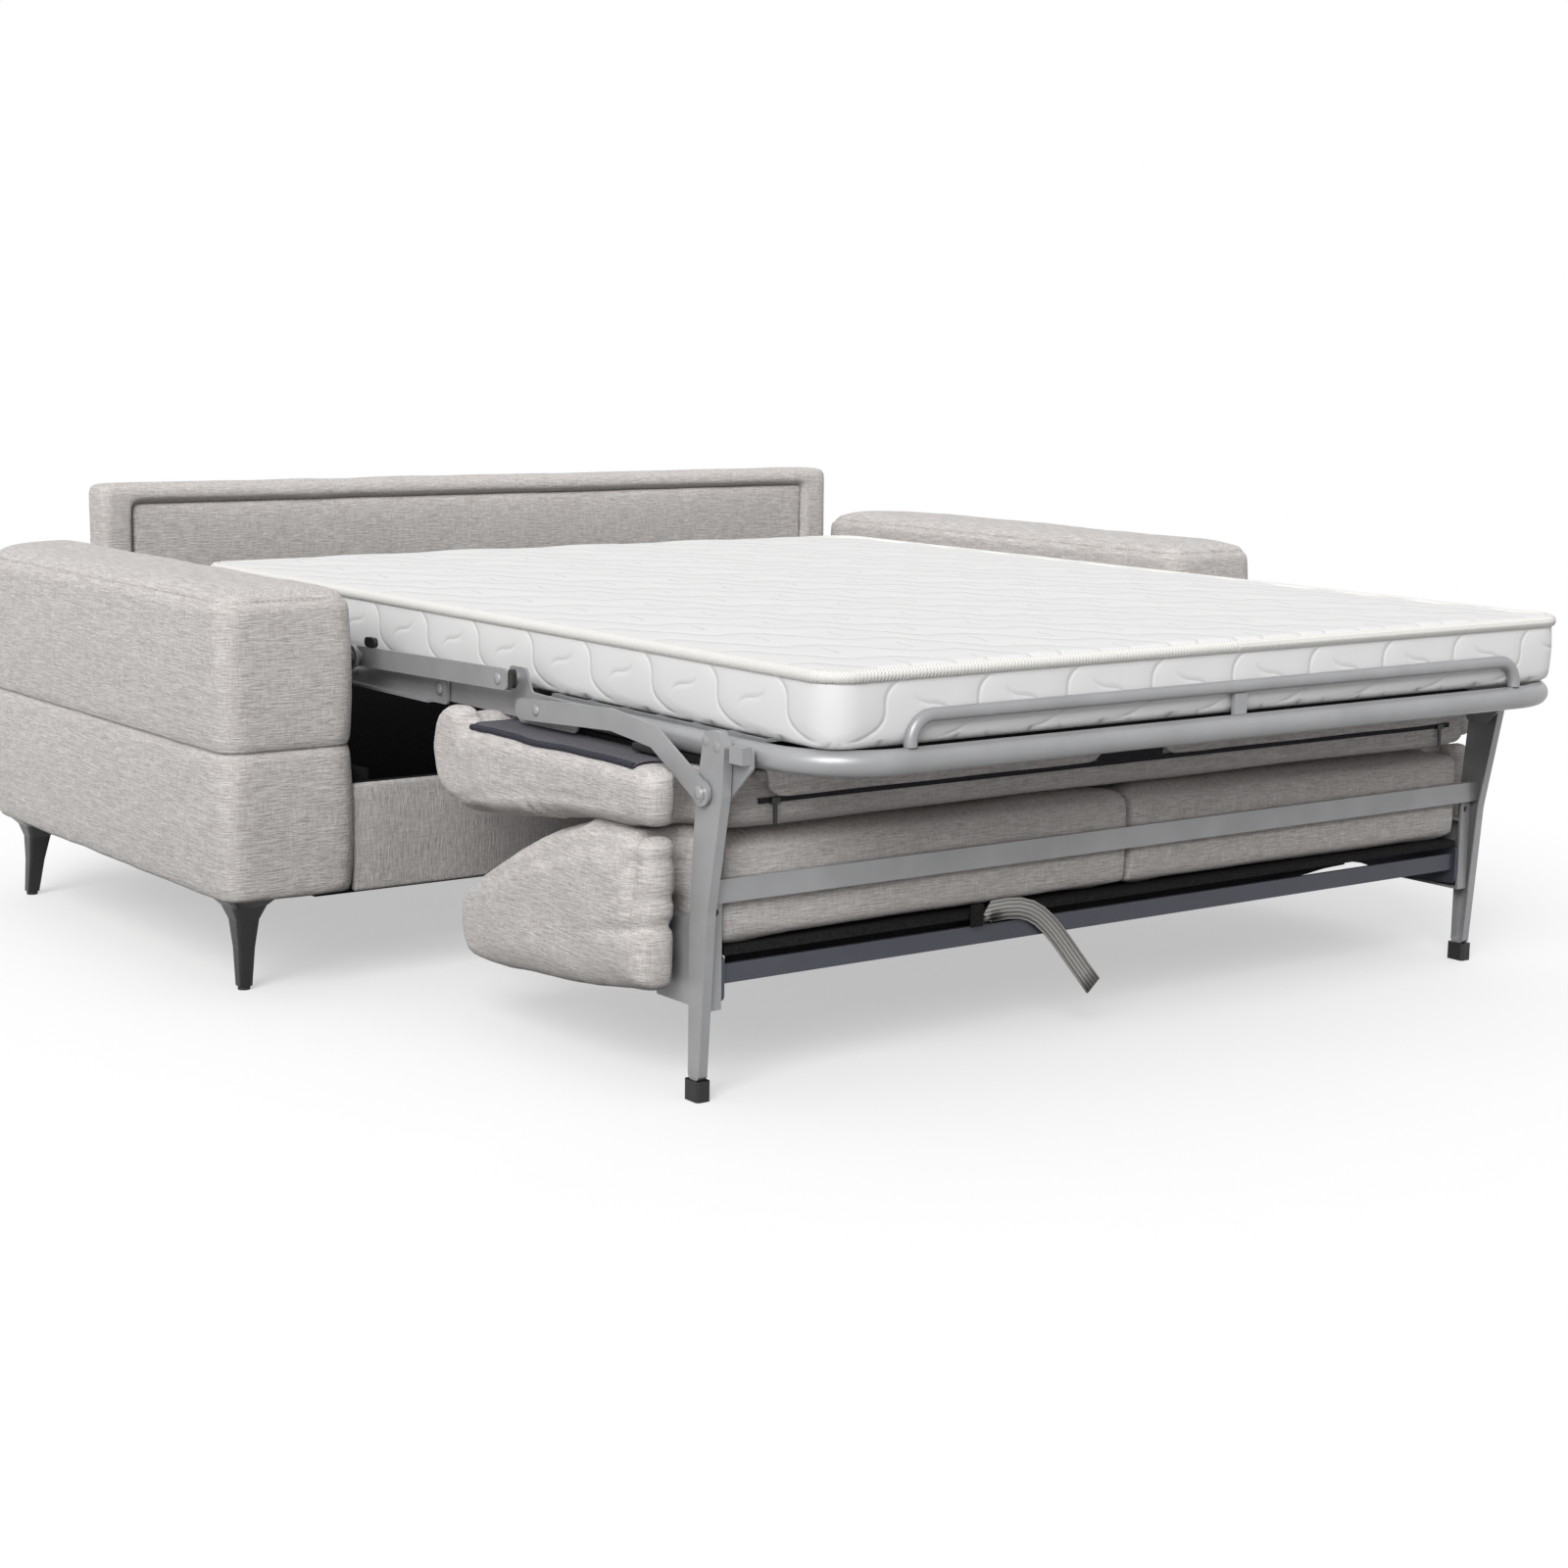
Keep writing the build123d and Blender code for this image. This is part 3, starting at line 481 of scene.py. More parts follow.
for side in ("left", "right"):
    arm = soft_copy(side + "_arm", side + "_arm_cover", 0.007, 12)
    mould(arm, arm_depth)
    finish_piece(arm, arm_cloth, side + "_arm_cover", body="sofa_base", slot="sofa_fabric")

# %% [markdown]
# ## Fixed back
# A padded border frames a panel that lies a little lower. The border is rounded, and the panel is crowned:
# tight at the seams and full between.

# %% Fixed back
PANEL_WIDE = 0.75
PANEL_MIDDLE = 0.6
PANEL_TALL = 0.072
PANEL_CROWN = 0.006


def border_depth(place, normal):
    return noise.noise(place * 9.0) * 0.002


def panel_depth(place, normal):
    rise = abs((place.z - PANEL_MIDDLE) / PANEL_TALL)
    crown = (1 - (abs(place.x) / PANEL_WIDE) ** 6) * (1 - rise ** 4)
    facing = max(0.0, -normal.y)
    return max(0.0, crown) * PANEL_CROWN * facing + noise.noise(place * 8.0) * 0.0015


border = soft_copy("back_border", "back_cover", 0.007, 8)
mould(border, border_depth)
finish_piece(border, side_cloth, "back_cover", body="sofa_base", slot="sofa_fabric")
panel = soft_copy("back_inset", "back_panel", 0.006, 4)
mould(panel, panel_depth)
finish_piece(panel, side_cloth, "back_panel", body="sofa_base", slot="sofa_fabric")

# %% [markdown]
# ## Rear cloth and apron
# Flat boards in cloth: a box with its edges rolled over, and a slight crown where the wadding lies.

# %% Boards in cloth
def board_in_cloth(name, low, high, roll, cuts):
    size = high - low
    bm = bmesh.new()
    bmesh.ops.create_cube(bm, size=1.0)
    bmesh.ops.scale(bm, vec=size, verts=bm.verts)
    bmesh.ops.translate(bm, vec=(low + high) / 2, verts=bm.verts)
    bmesh.ops.bevel(bm, geom=bm.edges[:], offset=roll, offset_type="OFFSET", affect="EDGES", segments=4,
                    profile=0.5, material=-1)
    long_edges = [e for e in bm.edges if e.calc_length() > 0.05]
    bmesh.ops.subdivide_edges(bm, edges=long_edges, cuts=cuts, use_grid_fill=True)
    return new_piece(name, bm)


TUCK = Vector((0.004, 0, 0))
PAD_THICK = 0.014
PAD_MIDDLE = 0.231
PAD_TALL = 0.085
rear_low, rear_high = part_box("rear_panel")
rear = board_in_cloth("rear_cloth", rear_low - TUCK, rear_high + TUCK, 0.003, 30)
finish_piece(rear, side_cloth, "rear_panel", body="sofa_base", slot="sofa_fabric")
apron_low, apron_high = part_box("apron_cover")
pad_high = Vector((apron_high.x, apron_low.y + PAD_THICK, apron_high.z))
apron = board_in_cloth("apron_pad", apron_low - TUCK, pad_high + TUCK, 0.005, 30)


def apron_depth(place, normal):
    return max(0.0, -normal.y) * 0.003 * (1 - ((place.z - PAD_MIDDLE) / PAD_TALL) ** 2)


mould(apron, apron_depth)
finish_piece(apron, apron_cloth_painted_shade, "apron_cover", body="sofa_base", slot="sofa_fabric")
strip_low = Vector((apron_low.x, apron_low.y + PAD_THICK + 0.0005, apron_high.z - 0.004))
strip = board_in_cloth("apron_strip", strip_low, apron_high, 0.0015, 20)
finish_piece(strip, black_cloth, body="sofa_base", slot="black_lining")

# %% [markdown]
# ## Mattress ticking
# The mattress is quilted: curved stitched lines run down its border, one after the other, with a short
# stitched wave between them, and the top has the same in rows. The grooves are too fine for the mesh, so the
# finish draws them as bump, and darkens the colour in and around them as painted shade. The border is
# measured along the edge by an attribute of the mesh.

# %% Ticking finish
QUILT = 0.152
TOP_ROW = 0.125
LEAN = 0.9
LINE_WIDE = 0.005
PUFF_WIDE = 0.03
WAVE_LONG = 0.03
WAVE_WIDE = 0.008
BED_LOW = 0.4846
BED_THICK = 0.094
CORNER_BARE = 0.05


def quilting(knit, run, rise, tall):
    """Depth of the stitching: leaning lines like a drawn-out S, with a short wave between two of them."""
    lean = 1.0 - rise * 2.0
    flattening = lean * lean
    cell = (run / QUILT - lean * flattening * (LEAN / 2)).math("FRACT") - 0.5
    slope = flattening * (3 * LEAN * QUILT / tall)
    away = (0.5 - cell.math("ABSOLUTE")) * QUILT / (slope * slope + 1.0).math("SQRT")
    puff = away.near(PUFF_WIDE)
    line = away.near(LINE_WIDE) * 0.4 + puff * puff * 0.6
    ahead = cell * (QUILT / WAVE_LONG)
    wave = (rise - 0.5) * tall - ahead * ahead * ahead * 0.009 - ahead * 0.003
    groove = wave.near(WAVE_WIDE)
    tick = groove * groove * (ahead.near(1.1) * 3.0).math("MINIMUM", 1.0)
    return line, tick


def ticking_finish():
    knit = Finish("mattress_ticking", Roughness=0.85, Sheen_Weight=0.2, Specular_IOR_Level=0.25)
    x, y, z = knit.axes()
    run = knit.node("ShaderNodeAttribute", {"attribute_name": "edge_run"}, {}, "Fac")
    flat = knit.node("ShaderNodeAttribute", {"attribute_name": "on_top"}, {}, "Fac")
    rise = ((z - BED_LOW) / BED_THICK).clamped()
    line, tick = quilting(knit, run, rise, BED_THICK)
    border = line.math("MAXIMUM", tick * (-run).step(QUILT / 2 + CORNER_BARE) * 0.55)
    line, tick = quilting(knit, y, (x / TOP_ROW).math("FRACT"), TOP_ROW)
    top = line.math("MAXIMUM", tick * 0.5)
    stitch_and_painted_shade = border * (1.0 - flat) + top * flat * 1.7
    fuzz = knit.speckle((900, 900, 900), 2.0)
    height = fuzz * 0.04 - stitch_and_painted_shade
    # Painted shade: the colour darkens along the quilting grooves and the puffs beside them.
    shade = knit.blend(stitch_and_painted_shade * 0.3, (0.745, 0.745, 0.742, 1), (0.66, 0.66, 0.652, 1))
    return knit.dress(shade, None, height, 0.005, 0.5)


ticking = ticking_finish()
print("ticking", ticking.name)

# %% Rope finish
TWIST = 2 * math.pi / 0.0056
SLANT = 0.8
rope = Finish("edge_rope", Roughness=0.85, Specular_IOR_Level=0.2)
x, y, z = rope.axes()
twist = ((x.math("ABSOLUTE") + y + z * SLANT) * TWIST).math("SINE") * 0.5 + 0.5
fibre = rope.speckle((1200, 1200, 1200), 1.0)
# Painted shade: the colour follows the twist and is darker in the grooves between the strands.
rope_painted_shade = rope.ramp(twist, (0.0, (0.64, 0.63, 0.60)), (0.55, (0.80, 0.79, 0.765)))
rope_cloth = rope.dress(rope_painted_shade, None, fibre, 0.001, 0.4)
print("rope", rope_cloth.name)

# %% [markdown]
# ## Mattress
# One mattress bends over two hinge lines as the bed folds. It is made in two pieces that meet in the middle
# of the short bridge part.

# %% Mattress sizes
bed_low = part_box("mattress_foot")[0]
bed_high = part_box("mattress_head")[1]
HALF = bed_high.x
FOOT_END = bed_low.y
HEAD_END = bed_high.y
CORNER = 0.042
RIM = 0.006
TOP = BED_LOW + BED_THICK
MEET = ARM_FRONT - 0.2175
print("mattress half width", HALF, "from", FOOT_END, "to", HEAD_END)

# %% Mattress body
def edge_run(place):
    """Length along the edge: it falls from the left foot corner both ways, and rises again on the right."""
    x = place.x + HALF - CORNER
    y = place.y - FOOT_END - CORNER
    span = 2 * (HALF - CORNER)
    arc = CORNER * math.pi / 4
    if y > 0:
        run = y - span - arc if place.x > 0 else -y - arc
    elif x < 0:
        run = -CORNER * abs(math.atan2(-y, -x) - math.pi / 4)
    elif x > span:
        run = CORNER * abs(math.atan2(-y, x - span) - math.pi / 4) - span - 2 * arc
    else:
        run = -x - arc
    return run - QUILT / 2


def quilt_depth(place, normal):
    flat = max(0.0, normal.z)
    puff = math.sin(place.y * math.pi * 2 / QUILT + 1.4 * math.sin(place.x * math.pi * 2 / 0.25))
    ripple = flat * (0.001 * puff + 0.0015 * noise.noise(place * 6.0))
    rise = (place.z - BED_LOW) / BED_THICK
    belly = (1 - flat) * 0.003 * math.sin(math.pi * min(1.0, max(0.0, rise)))
    crown = flat * 0.005 * (1 - (place.x / HALF) ** 4)
    return ripple + belly + crown


def mattress_block(name):
    """A block with rounded corners and edges."""
    low = Vector((-HALF, FOOT_END, BED_LOW - 0.0042))
    high = Vector((HALF, HEAD_END, TOP))
    bm = bmesh.new()
    bmesh.ops.create_cube(bm, size=1.0)
    bmesh.ops.scale(bm, vec=high - low, verts=bm.verts)
    bmesh.ops.translate(bm, vec=(low + high) / 2, verts=bm.verts)
    upright = [e for e in bm.edges if abs(e.verts[0].co.z - e.verts[1].co.z) > 0.01]
    bmesh.ops.bevel(bm, geom=upright, offset=CORNER, offset_type="OFFSET", affect="EDGES", segments=8,
                    profile=0.5, material=-1)
    rims = [e for e in bm.edges if abs(e.verts[0].co.z - e.verts[1].co.z) < 0.001]
    bmesh.ops.bevel(bm, geom=rims, offset=RIM, offset_type="OFFSET", affect="EDGES", segments=3,
                    profile=0.5, material=-1)
    return soften(new_piece(name, bm), 0.008, 2)


def quilted(name, keep_head):
    half = mattress_block(name)
    mould(half, quilt_depth)
    bm = bmesh.new()
    bm.from_mesh(half.data)
    bmesh.ops.bisect_plane(bm, geom=bm.verts[:] + bm.edges[:] + bm.faces[:], plane_co=(0, MEET, 0),
                           plane_no=(0, 1, 0), clear_inner=keep_head, clear_outer=not keep_head)
    bm.to_mesh(half.data)
    bm.free()
    run = half.data.attributes.new("edge_run", "FLOAT", "POINT")
    top = half.data.attributes.new("on_top", "FLOAT", "POINT")
    for v in half.data.vertices:
        run.data[v.index].value = edge_run(v.co)
        top.data[v.index].value = 1.0 if v.co.z > TOP - RIM or v.co.z < BED_LOW + RIM else 0.0
    return finish_piece(half, ticking, slot="mattress_ticking")


head_half = quilted("mattress_rear", True)
foot_half = quilted("mattress_front", False)
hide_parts("mattress_head", "mattress_middle")
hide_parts("mattress_foot")

# %% [markdown]
# ## Rope edging
# A ribbed rope is sewn round the mattress's top edge. A curve follows the rounded plan, its bevel makes it
# round, and a wave that winds along it raises the ribs. It stops at the same place as the mattress pieces.

# %% Cords
def cord(name, points, radius):
    """A round cord through points, as a mesh made from a bevelled curve."""
    line = bpy.data.curves.new(name, "CURVE")
    line.dimensions = "3D"
    line.bevel_depth = radius
    line.bevel_resolution = 3
    line.use_fill_caps = True
    spline = line.splines.new("POLY")
    spline.points.add(len(points) - 1)
    for point, place in zip(spline.points, points):
        point.co = (*place, 1)
    holder = bpy.data.objects.new(name, line)
    scene.collection.objects.link(holder)
    bpy.context.view_layer.update()
    shown = holder.evaluated_get(bpy.context.evaluated_depsgraph_get())
    bm = bmesh.new()
    bm.from_mesh(bpy.data.meshes.new_from_object(shown))
    bpy.data.objects.remove(holder)
    return new_piece(name, bm)


def steps(start, end, count):
    """Places from the start up to the end, without the end."""
    return [Vector(start).lerp(Vector(end), i / count) for i in range(count)]


# %% Rope edging
ROPE = 0.0086
ROPE_SET_IN = 0.0015
ROPE_DROP = 0.0065
RIB = 0.0009
RIB_STEP = 0.0014
TURN_STEPS = 45


def rib_depth(place, normal):
    return RIB * math.sin((abs(place.x) + place.y + place.z * SLANT) * TWIST)


def rope_edge(name, keep_head):
    w = HALF - ROPE_SET_IN
    end = HEAD_END - ROPE_SET_IN if keep_head else FOOT_END + ROPE_SET_IN
    turn_from = end - math.copysign(CORNER, end - MEET)
    height = TOP - ROPE_DROP
    half = steps((-w, MEET, height), (-w, turn_from, height), round(abs(turn_from - MEET) / RIB_STEP))
    for i in range(TURN_STEPS + 1):
        angle = math.pi / (2 * TURN_STEPS) * i
        half.append(Vector((-w + CORNER * (1 - math.cos(angle)),
                            turn_from + (end - turn_from) * math.sin(angle), height)))
    half += steps((CORNER - w, end, height), (0, end, height), round((w - CORNER) / RIB_STEP))[1:]
    whole = half + [Vector((-p.x, p.y, p.z)) for p in reversed(half)]
    made = cord(name, whole, ROPE)
    mould(made, rib_depth)
    return finish_piece(made, rope_cloth, slot="mattress_ticking")


head_rope = rope_edge("mattress_rear_rope", True)
foot_rope = rope_edge("mattress_front_rope", False)
for piece in (head_half, head_rope):
    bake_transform(piece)
for piece in (foot_half, foot_rope):
    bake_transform(piece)

# %% [markdown]
# ## Bench seat
# The seat is a stuffed cushion, so Cloth pressure blows a copy of it up a little. Creases follow afterwards:
# a pinch where the board against it begins, a seam along each end and a few drawn folds. The legs of the bed
# fold into two notches in it, and the cloth is kept out of them.

# %% Bench seat
SEAT_TOP = 0.4345
BOARD_EDGE = -0.262
SEAT_END = 0.76
SEAM_START = -0.215
SEAM_STOP = -0.62


def seat_depth(place, normal):
    s = place.y - ARM_FRONT
    wrinkle = noise.noise(Vector((place.x * 4.0, place.y * 16.0, place.z * 16.0))) * 0.003
    pinch = dip(s - BOARD_EDGE, 0.01) * dip(place.z - 0.43, 0.03) * -0.01
    if abs(place.x) < SEAT_END:
        return wrinkle + pinch
    along = SEAM_START - s
    seam_height = 0.321 + 0.26 * along - 0.31 * along * along
    seam = dip(place.z - seam_height, 0.004) * -0.0035 if s > SEAM_STOP else 0.0
    folds = dip(s + 0.455, 0.04) * dip(place.z - 0.338, 0.014)
    drawn = math.sin((s - 0.7 * place.z) * 170.0) * folds * 0.004
    return wrinkle + pinch + seam + drawn


def flatten(piece, s_limit, height):
    """Press the part in front of a place flat under the board it lies against."""
    for v in piece.data.vertices:
        if v.co.y - ARM_FRONT < s_limit:
            v.co.z = min(v.co.z, height)


leg_low, leg_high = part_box("left_leg")
LEG_ROOM = (-leg_high.x - 0.005, -leg_low.x + 0.008)
LEG_ROOM_END = -0.690


def clear_leg_room(piece):
    """Keep the swollen cloth out of the two openings that the legs fold into."""
    for v in piece.data.vertices:
        far, s = abs(v.co.x), v.co.y - ARM_FRONT
        if s > LEG_ROOM_END or not LEG_ROOM[0] < far < LEG_ROOM[1]:
            continue
        inward, outward, deeper = far - LEG_ROOM[0], LEG_ROOM[1] - far, LEG_ROOM_END - s
        if deeper < min(inward, outward):
            v.co.y = ARM_FRONT + LEG_ROOM_END
        else:
            v.co.x = math.copysign(LEG_ROOM[0] if inward < outward else LEG_ROOM[1], v.co.x)


bench = soft_copy("bench_seat", "seat_cushion", 0.0075, 4)
swell(bench, 0.010)
mould(bench, seat_depth)
flatten(bench, BOARD_EDGE, SEAT_TOP)
clear_leg_room(bench)
finish_piece(bench, side_cloth, "seat_cushion", body="foot_section", slot="sofa_fabric")

# %% [markdown]
# ## Back cushions
# Two more stuffed cushions, made in the same way. At their outer ends a seam gathers the cloth, with two
# pinches, a tuck below and a sewn welt beyond it. In the middle they are drawn together to a narrow join.

# %% Back cushions
END_SEAM = -0.698
CUSHION_END = 0.73
SEWN = (0.236, 0.352)
PINCHES = -0.07
INNER_END = 0.12
JOIN = 0.025
SQUEEZE = 0.3
GAP = 0.0006


def back_depth(place, normal):
    s = place.y - ARM_FRONT
    wrinkle = noise.noise(Vector((place.x * 5.0, place.y * 12.0, place.z * 12.0))) * 0.003
    if abs(place.x) < CUSHION_END:
        return wrinkle
    beyond = s - END_SEAM
    sewn = 1.0 if SEWN[0] < place.z < SEWN[1] else 0.0
    seam = dip(beyond, 0.006) * -0.008 * sewn
    level = place.z + 0.17 * beyond
    pinched = -0.004 if PINCHES < beyond < 0 else 0.0
    pinch = (dip(level - 0.259, 0.006) + dip(level - 0.309, 0.005)) * pinched
    fan = math.sin((place.z + 0.5 * beyond) * 210.0 + 3.0 * noise.noise(place * 11.0))
    gather = fan * -0.0018 * dip(beyond - 0.025, 0.03) * sewn
    tuck = dip(place.z - 0.222 + 0.2 * beyond, 0.007) * dip(beyond, 0.055) * -0.009
    welt = dip(place.z - 0.345 + 0.32 * beyond, 0.004) * -0.0035 if beyond > 0 else 0.0
    return wrinkle + seam + pinch + gather + tuck + welt


def close_up(piece):
    """Draw the inner ends of the two cushions together, so that only a narrow join shows."""
    spread = (INNER_END - JOIN * SQUEEZE) / (INNER_END - JOIN)
    for v in piece.data.vertices:
        far = abs(v.co.x)
        if far < INNER_END:
            near = far * SQUEEZE if far < JOIN else JOIN * SQUEEZE + (far - JOIN) * spread
            v.co.x = math.copysign(max(near, GAP), v.co.x)


for side in ("left", "right"):
    pillow = soft_copy(side + "_back_pillow", side + "_back_cushion", 0.007, 5)
    swell(pillow, 0.009)
    mould(pillow, back_depth)
    close_up(pillow)
    finish_piece(pillow, side_cloth, side + "_back_cushion", body="leg_frame", slot="sofa_fabric")

# %% [markdown]
# ## Flaps and strap
# Two cloth flaps hang over the seat's foot end, above the zip: a grid laid out over each flap, with its free
# edge lifted a little, and a wall for the cloth. The strap is ribbed webbing, an edge drawn along its route.

# %% Flaps
flap_low, flap_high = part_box("seat_flaps")
FLAP_IN = (-0.075, 0.045)
FLAP_OUT = 0.66
FLAP_THICK = 0.004


def flap(name, x0, x1):
    bm = bmesh.new()
    bmesh.ops.create_grid(bm, x_segments=60, y_segments=8, size=0.5)
    for v in bm.verts:
        u, w = v.co.x + 0.5, v.co.y + 0.5
        lift = (1 - w) * (0.005 + 0.002 * math.sin(u * 17.0))
        x = x0 + u * (x1 - x0)
        corner = 0.012 * max(0.0, 1 - 40 * min(x - x0, x1 - x)) ** 2 * (1 - w)
        v.co = Vector((x, flap_low.y + 0.003 - lift, flap_low.z + corner + w * (flap_high.z - flap_low.z)))
    piece = new_piece(name, bm)
    wall = piece.modifiers.new("cloth", "SOLIDIFY")
    wall.thickness = FLAP_THICK
    wall.offset = 0
    settle(piece)
    finish_piece(piece, flap_cloth_painted_light, body="foot_section", slot="sofa_fabric")
    return piece


left_flap = flap("left_flap", -FLAP_OUT, FLAP_IN[0])
flap("right_flap", FLAP_IN[1], FLAP_OUT)
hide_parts("seat_flaps")

# %% Zip tape between the flaps
TAPE_TALL = 0.018
TAPE_LAP = 0.004
tape_low = Vector((FLAP_IN[0] - TAPE_LAP, flap_high.y - 0.0025, flap_low.z))
tape_high = Vector((FLAP_IN[1] + TAPE_LAP, flap_high.y - 0.0005, flap_low.z + TAPE_TALL))
tape = board_in_cloth("zip_middle", tape_low, tape_high, 0.0006, 4)
finish_piece(tape, zip_cloth, body="foot_section", slot="zip_cloth")

# %% Pull strap
STRAP_WIDE = 0.03
STRAP_THICK = 0.0022
STRAP_ROUTE = (
    (-0.29, 0.195), (-0.262, 0.197), (-0.234, 0.198), (-0.21, 0.196), (-0.19, 0.190), (-0.172, 0.180),
    (-0.155, 0.166), (-0.138, 0.149), (-0.121, 0.130), (-0.104, 0.110), (-0.085, 0.088), (-0.065, 0.065),
)
strap_low, strap_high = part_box("pull_strap")


def webbing_strap():
    """One edge, as wide as the webbing, carried along the route."""
    face = (strap_low.y + strap_high.y) / 2
    bm = bmesh.new()
    bmesh.ops.create_circle(bm, segments=3, radius=0.01)
    bmesh.ops.delete(bm, geom=bm.verts[:1], context="VERTS")
    edge = bm.edges[:]
    low, high = edge[0].verts
    length = 0.0
    for i, (x, z) in enumerate(STRAP_ROUTE):
        before = STRAP_ROUTE[max(i - 1, 0)]
        after = STRAP_ROUTE[min(i + 1, len(STRAP_ROUTE) - 1)]
        along = Vector((after[0] - before[0], 0, after[1] - before[1])).normalized()
        across = Vector((-along.z, 0, along.x)) * (STRAP_WIDE / 2)
        if i:
            made = bmesh.ops.extrude_edge_only(bm, edges=edge)["geom"]
            edge = [g for g in made if isinstance(g, bmesh.types.BMEdge)]
            low, high = [g for g in made if isinstance(g, bmesh.types.BMVert)]
            length += math.dist((x, z), STRAP_ROUTE[i - 1])
        low.co = Vector((x, face, z)) - across
        high.co = Vector((x, face, z)) + across
    run = bm.loops.layers.uv.new("run")
    for part in bm.faces:
        for corner in part.loops:
            near = min(STRAP_ROUTE, key=lambda p: math.dist(p, (corner.vert.co.x, corner.vert.co.z)))
            corner[run].uv = (1.0 if corner.vert.co.z > near[1] else 0.0, near[0])
    piece = new_piece("strap", bm)
    wall = piece.modifiers.new("webbing", "SOLIDIFY")
    wall.thickness = STRAP_THICK
    wall.offset = 0
    settle(piece)
    return piece, length


strap, strap_length = webbing_strap()
finish_piece(strap, webbing, "pull_strap", body="leg_frame", slot="strap_webbing")

# %% Patch over the strap's sewn end
patch_low = Vector((-0.302, strap_low.y - 0.0022, 0.179))
patch_high = Vector((-0.280, strap_high.y - 0.0035, 0.211))
patch = board_in_cloth("strap_patch", patch_low, patch_high, 0.0008, 6)
finish_piece(patch, black_cloth, body="leg_frame", slot="black_lining")

# %% [markdown]
# ## Sagging lining
# Under the panel that carries the back cushions a black lining hangs down a little, behind the front bar. It
# is a grid with soft folds, deepest on the left, and a thin wall.

# %% Sagging lining
SAG_ENDS = (-0.70, 0.48)
SAG_TOP = 0.1894
SAG_PLACE = -0.757
SAG_DEEP = 0.030
SAG_TAPER = 0.022
LINING_THICK = 0.0012


def sagging_lining():
    bm = bmesh.new()
    bmesh.ops.create_grid(bm, x_segments=90, y_segments=5, size=0.5)
    for v in bm.verts:
        u, w = v.co.x + 0.5, 0.5 - v.co.y
        x = SAG_ENDS[0] + u * (SAG_ENDS[1] - SAG_ENDS[0])
        taper = SAG_TAPER * max(0.0, x) / SAG_ENDS[1]
        deep = SAG_DEEP - taper + 0.003 * noise.noise(Vector((x * 9.0, 0, 0)))
        fold = 0.004 * w * math.sin(x * 31.0 + 3.0 * noise.noise(Vector((x * 5.0, 1, 0))))
        v.co = Vector((x, ARM_FRONT + SAG_PLACE + fold, SAG_TOP - deep * w))
    piece = new_piece("back_lining_sag", bm)
    wall = piece.modifiers.new("cloth", "SOLIDIFY")
    wall.thickness = LINING_THICK
    settle(piece)
    finish_piece(piece, black_cloth, body="leg_frame", slot="black_lining")


sagging_lining()

# %% [markdown]
# ## Slate lining of the bench seat
# Between the cushion and the frame lies a slate lining with a piped edge. Its border shows at both ends of
# the seat, beside the steel. Rays cast down find the cushion's surface, so that the lining lies on it.

# %% Slate lining
LINING_IN = 0.7235
LINING_OUT = 0.796
LINING_NEAR = -0.685
LINING_LONG = 0.415
PIPING = 0.0045
PIPING_STEPS = 40


def laid_on(piece, x, y, gap):
    """A place just above the piece."""
    down = piece.ray_cast(Vector((x, y, 0.6)), Vector((0, 0, -1)))
    return Vector((x, y, (down[1].z if down[0] else SEAT_TOP) + gap))


def lining_strip(side):
    name = "left" if side < 0 else "right"
    near = ARM_FRONT + LINING_NEAR
    deep = LINING_LONG
    bm = bmesh.new()
    bmesh.ops.create_grid(bm, x_segments=10, y_segments=PIPING_STEPS, size=0.5)
    for v in bm.verts:
        u, w = v.co.x + 0.5, v.co.y + 0.5
        out = LINING_IN + (LINING_OUT - LINING_IN) * u
        v.co = laid_on(bench, side * out, near + deep * w, 0.003)
    piece = new_piece(name + "_seat_lining", bm)
    wall = piece.modifiers.new("cloth", "SOLIDIFY")
    wall.thickness = 0.002
    settle(piece)
    finish_piece(piece, slate_cloth, body="foot_section", slot="black_lining")
    places = [near + deep * i / PIPING_STEPS for i in range(PIPING_STEPS + 1)]
    edge = [laid_on(bench, side * LINING_OUT, y, 0.004) for y in places]
    piping = cord(name + "_seat_piping", edge, PIPING)
    finish_piece(piping, navy_cloth, body="foot_section", slot="black_lining")


lining_strip(-1)
lining_strip(1)

# %% [markdown]
# ## Rivets
# Every pivot of the mechanism ends in a domed head. A ball is flattened and sunk half way into its plate, on
# both sides of the bed.

# %% Rivets
def rivets(name, body, spots):
    """Heads at (distance from the middle, place from the arms' front, height, radius, flatness)."""
    bm = bmesh.new()
    for face_x, s, height, size, dome in spots:
        for side in (-1, 1):
            made = bmesh.ops.create_uvsphere(bm, u_segments=16, v_segments=10, radius=size)["verts"]
            bmesh.ops.scale(bm, vec=(dome, 1, 1), verts=made)
            bmesh.ops.translate(bm, vec=(side * face_x, ARM_FRONT + s, height), verts=made)
    piece = new_piece(name, bm)
    finish_piece(piece, steel, body=body, slot="grey_steel")


rivets("swing_rivets", "front_swing_arms", [(0.783, 0.116, 0.493, 0.009, 0.3)])
rivets("link_rivets", "upper_links_body", [
    (0.771, 0.112, 0.493, 0.0085, 0.4),
    (0.771, -0.299, 0.503, 0.0085, 0.4),
])
rivets("head_rivets", "head_section", [
    (0.7436, -0.085, 0.463, 0.008, 0.4),
    (0.786, 0.177, 0.463, 0.009, 0.1),
])
rivets("foot_rivets", "foot_section", [
    (0.7436, -0.33, 0.463, 0.008, 0.4),
    (0.764, -0.39, 0.468, 0.008, 0.4),
    (0.7666, -0.79, 0.41, 0.009, 0.4),
])
rivets("leg_rivets", "leg_frame", [
    (0.757, -0.79, 0.477, 0.007, 0.2),
    (0.757, -0.815, 0.472, 0.007, 0.2),
])

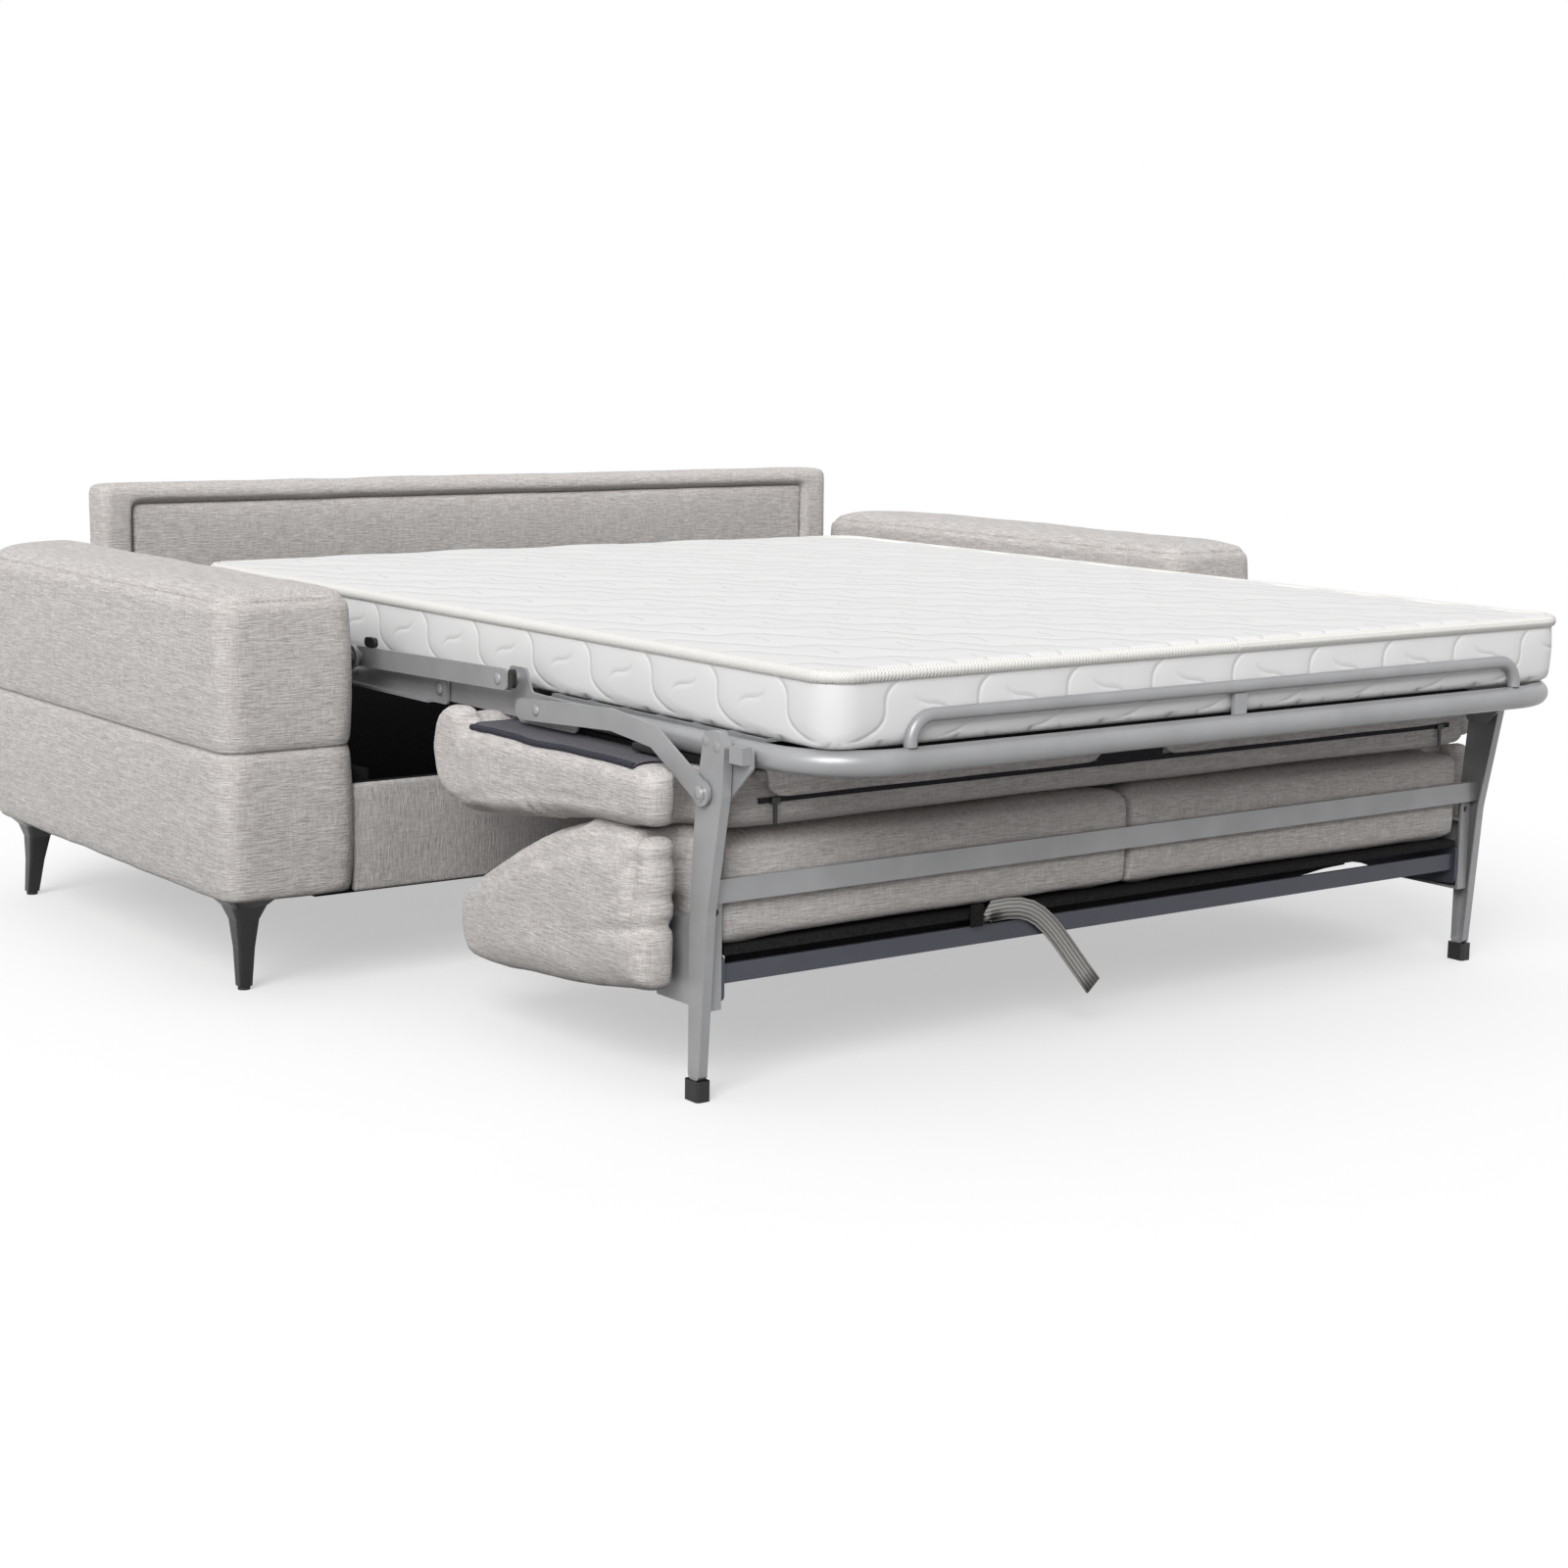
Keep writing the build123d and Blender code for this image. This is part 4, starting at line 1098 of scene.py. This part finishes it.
# %% [markdown]
# ## Clips
# A small black clip at each side holds the lining under the frame.

# %% Clips
def clip_pair(name, body, x, s, height, size):
    bm = bmesh.new()
    for side in (-1, 1):
        made = bmesh.ops.create_cube(bm, size=1.0)["verts"]
        bmesh.ops.scale(bm, vec=size, verts=made)
        bmesh.ops.translate(bm, vec=(side * x, ARM_FRONT + s, height), verts=made)
    bmesh.ops.bevel(bm, geom=bm.edges[:], offset=0.002, offset_type="OFFSET", affect="EDGES", segments=3,
                    profile=0.5, material=-1)
    finish_piece(new_piece(name, bm), plastic, body=body, slot="plastic")


clip_pair("lining_clips", "foot_section", 0.745, -0.645, 0.4475, (0.02, 0.056, 0.01))

# %% [markdown]
# ## Floor and light
# A pale floor, a white surround and one wide soft lamp from the left front. The camera sees the surround as
# plain white, and so do reflections, while its light on the object stays gentle. The floor throws back less
# light than it shows, so that the underside of the bed stays dark. Far from the sofa the floor turns into
# the same white, so that no horizon shows, and near it the shadow stays, half as strong.

# %% Floor
SHADED = 0.06
OPEN = 0.45
BED_REACH = 1.1
BED_FADE = 1.2
FLOOR_REACH = 2.0
FLOOR_FADE = 3.0
SHADOW_LIFT = 0.5


def looked_at(graph):
    """1 for rays that see a surface directly or in metal and glass, 0 for light that it throws on."""
    kinds = ("Camera", "Glossy", "Transmission")
    rays = [graph.node("ShaderNodeLightPath", {}, {}, "Is " + kind + " Ray") for kind in kinds]
    return rays[0].math("MAXIMUM", rays[1]).math("MAXIMUM", rays[2])


bm = bmesh.new()
bmesh.ops.create_grid(bm, x_segments=1, y_segments=1, size=30)
floor = new_piece("floor", bm)
floor_paint = Finish("pale_floor", Roughness=0.9, Specular_IOR_Level=0.1)
dust = floor_paint.speckle((3, 3, 3), 2.0)
pale = floor_paint.ramp(dust, (0.2, (0.93, 0.93, 0.93)), (0.8, (0.95, 0.95, 0.95)))
ray = looked_at(floor_paint)
x, y, z = floor_paint.axes()
distance = (x * x + y * y).math("SQRT")
clear = ((distance - BED_REACH) / BED_FADE).clamped()
bounce = floor_paint.blend(clear, (SHADED, SHADED, SHADED, 1), (OPEN, OPEN, OPEN, 1))
floor_material = floor_paint.dress(floor_paint.blend(ray, bounce, pale))
far = ((distance - FLOOR_REACH) / FLOOR_FADE).clamped()
glow = floor_paint.node("ShaderNodeEmission", {}, {"Color": (1, 1, 1, 1), "Strength": 1.0})
lit = Sum(floor_paint, floor_paint.surface.outputs[0])
straight = floor_paint.node("ShaderNodeLightPath", {}, {}, "Is Camera Ray")
whiteness = far * ray + (1.0 - far) * straight * SHADOW_LIFT
seen_floor = floor_paint.node("ShaderNodeMixShader", {}, {0: whiteness, 1: lit, 2: glow})
floor_paint.put(seen_floor, floor_paint.tree.nodes["Material Output"].inputs["Surface"])
floor.data.materials.append(floor_material)

# %% Light
ABOVE = 0.5
AROUND = 0.28
SUNLIGHT = 2.65
LAMP_WIDE = 34
BEAM = Vector((0.66, 0.52, -0.58))
world = bpy.data.worlds.new("studio")
scene.world = world
world.use_nodes = True
sky = Graph(world.node_tree)
toward = sky.node("ShaderNodeTexCoord", {}, {}, "Generated")
up = sky.node("ShaderNodeSeparateXYZ", {}, {"Vector": toward}, "Z")
overhead = up.math("MAXIMUM", 0.0) * ABOVE + AROUND
surround = sky.node("ShaderNodeBackground", {}, {"Color": (1, 1, 1, 1), "Strength": overhead})
white = sky.node("ShaderNodeBackground", {}, {"Color": (1, 1, 1, 1), "Strength": 1.0})
mixed = sky.node("ShaderNodeMixShader", {}, {0: looked_at(sky), 1: surround, 2: white})
sky.put(mixed, sky.tree.nodes["World Output"].inputs["Surface"])
lamp = bpy.data.lights.new("soft_lamp", "SUN")
lamp.angle = math.radians(LAMP_WIDE)
lamp.energy = SUNLIGHT
key = bpy.data.objects.new("soft_lamp", lamp)
scene.collection.objects.link(key)
key.rotation_euler = BEAM.to_track_quat("-Z", "Y").to_euler()
print("light set")
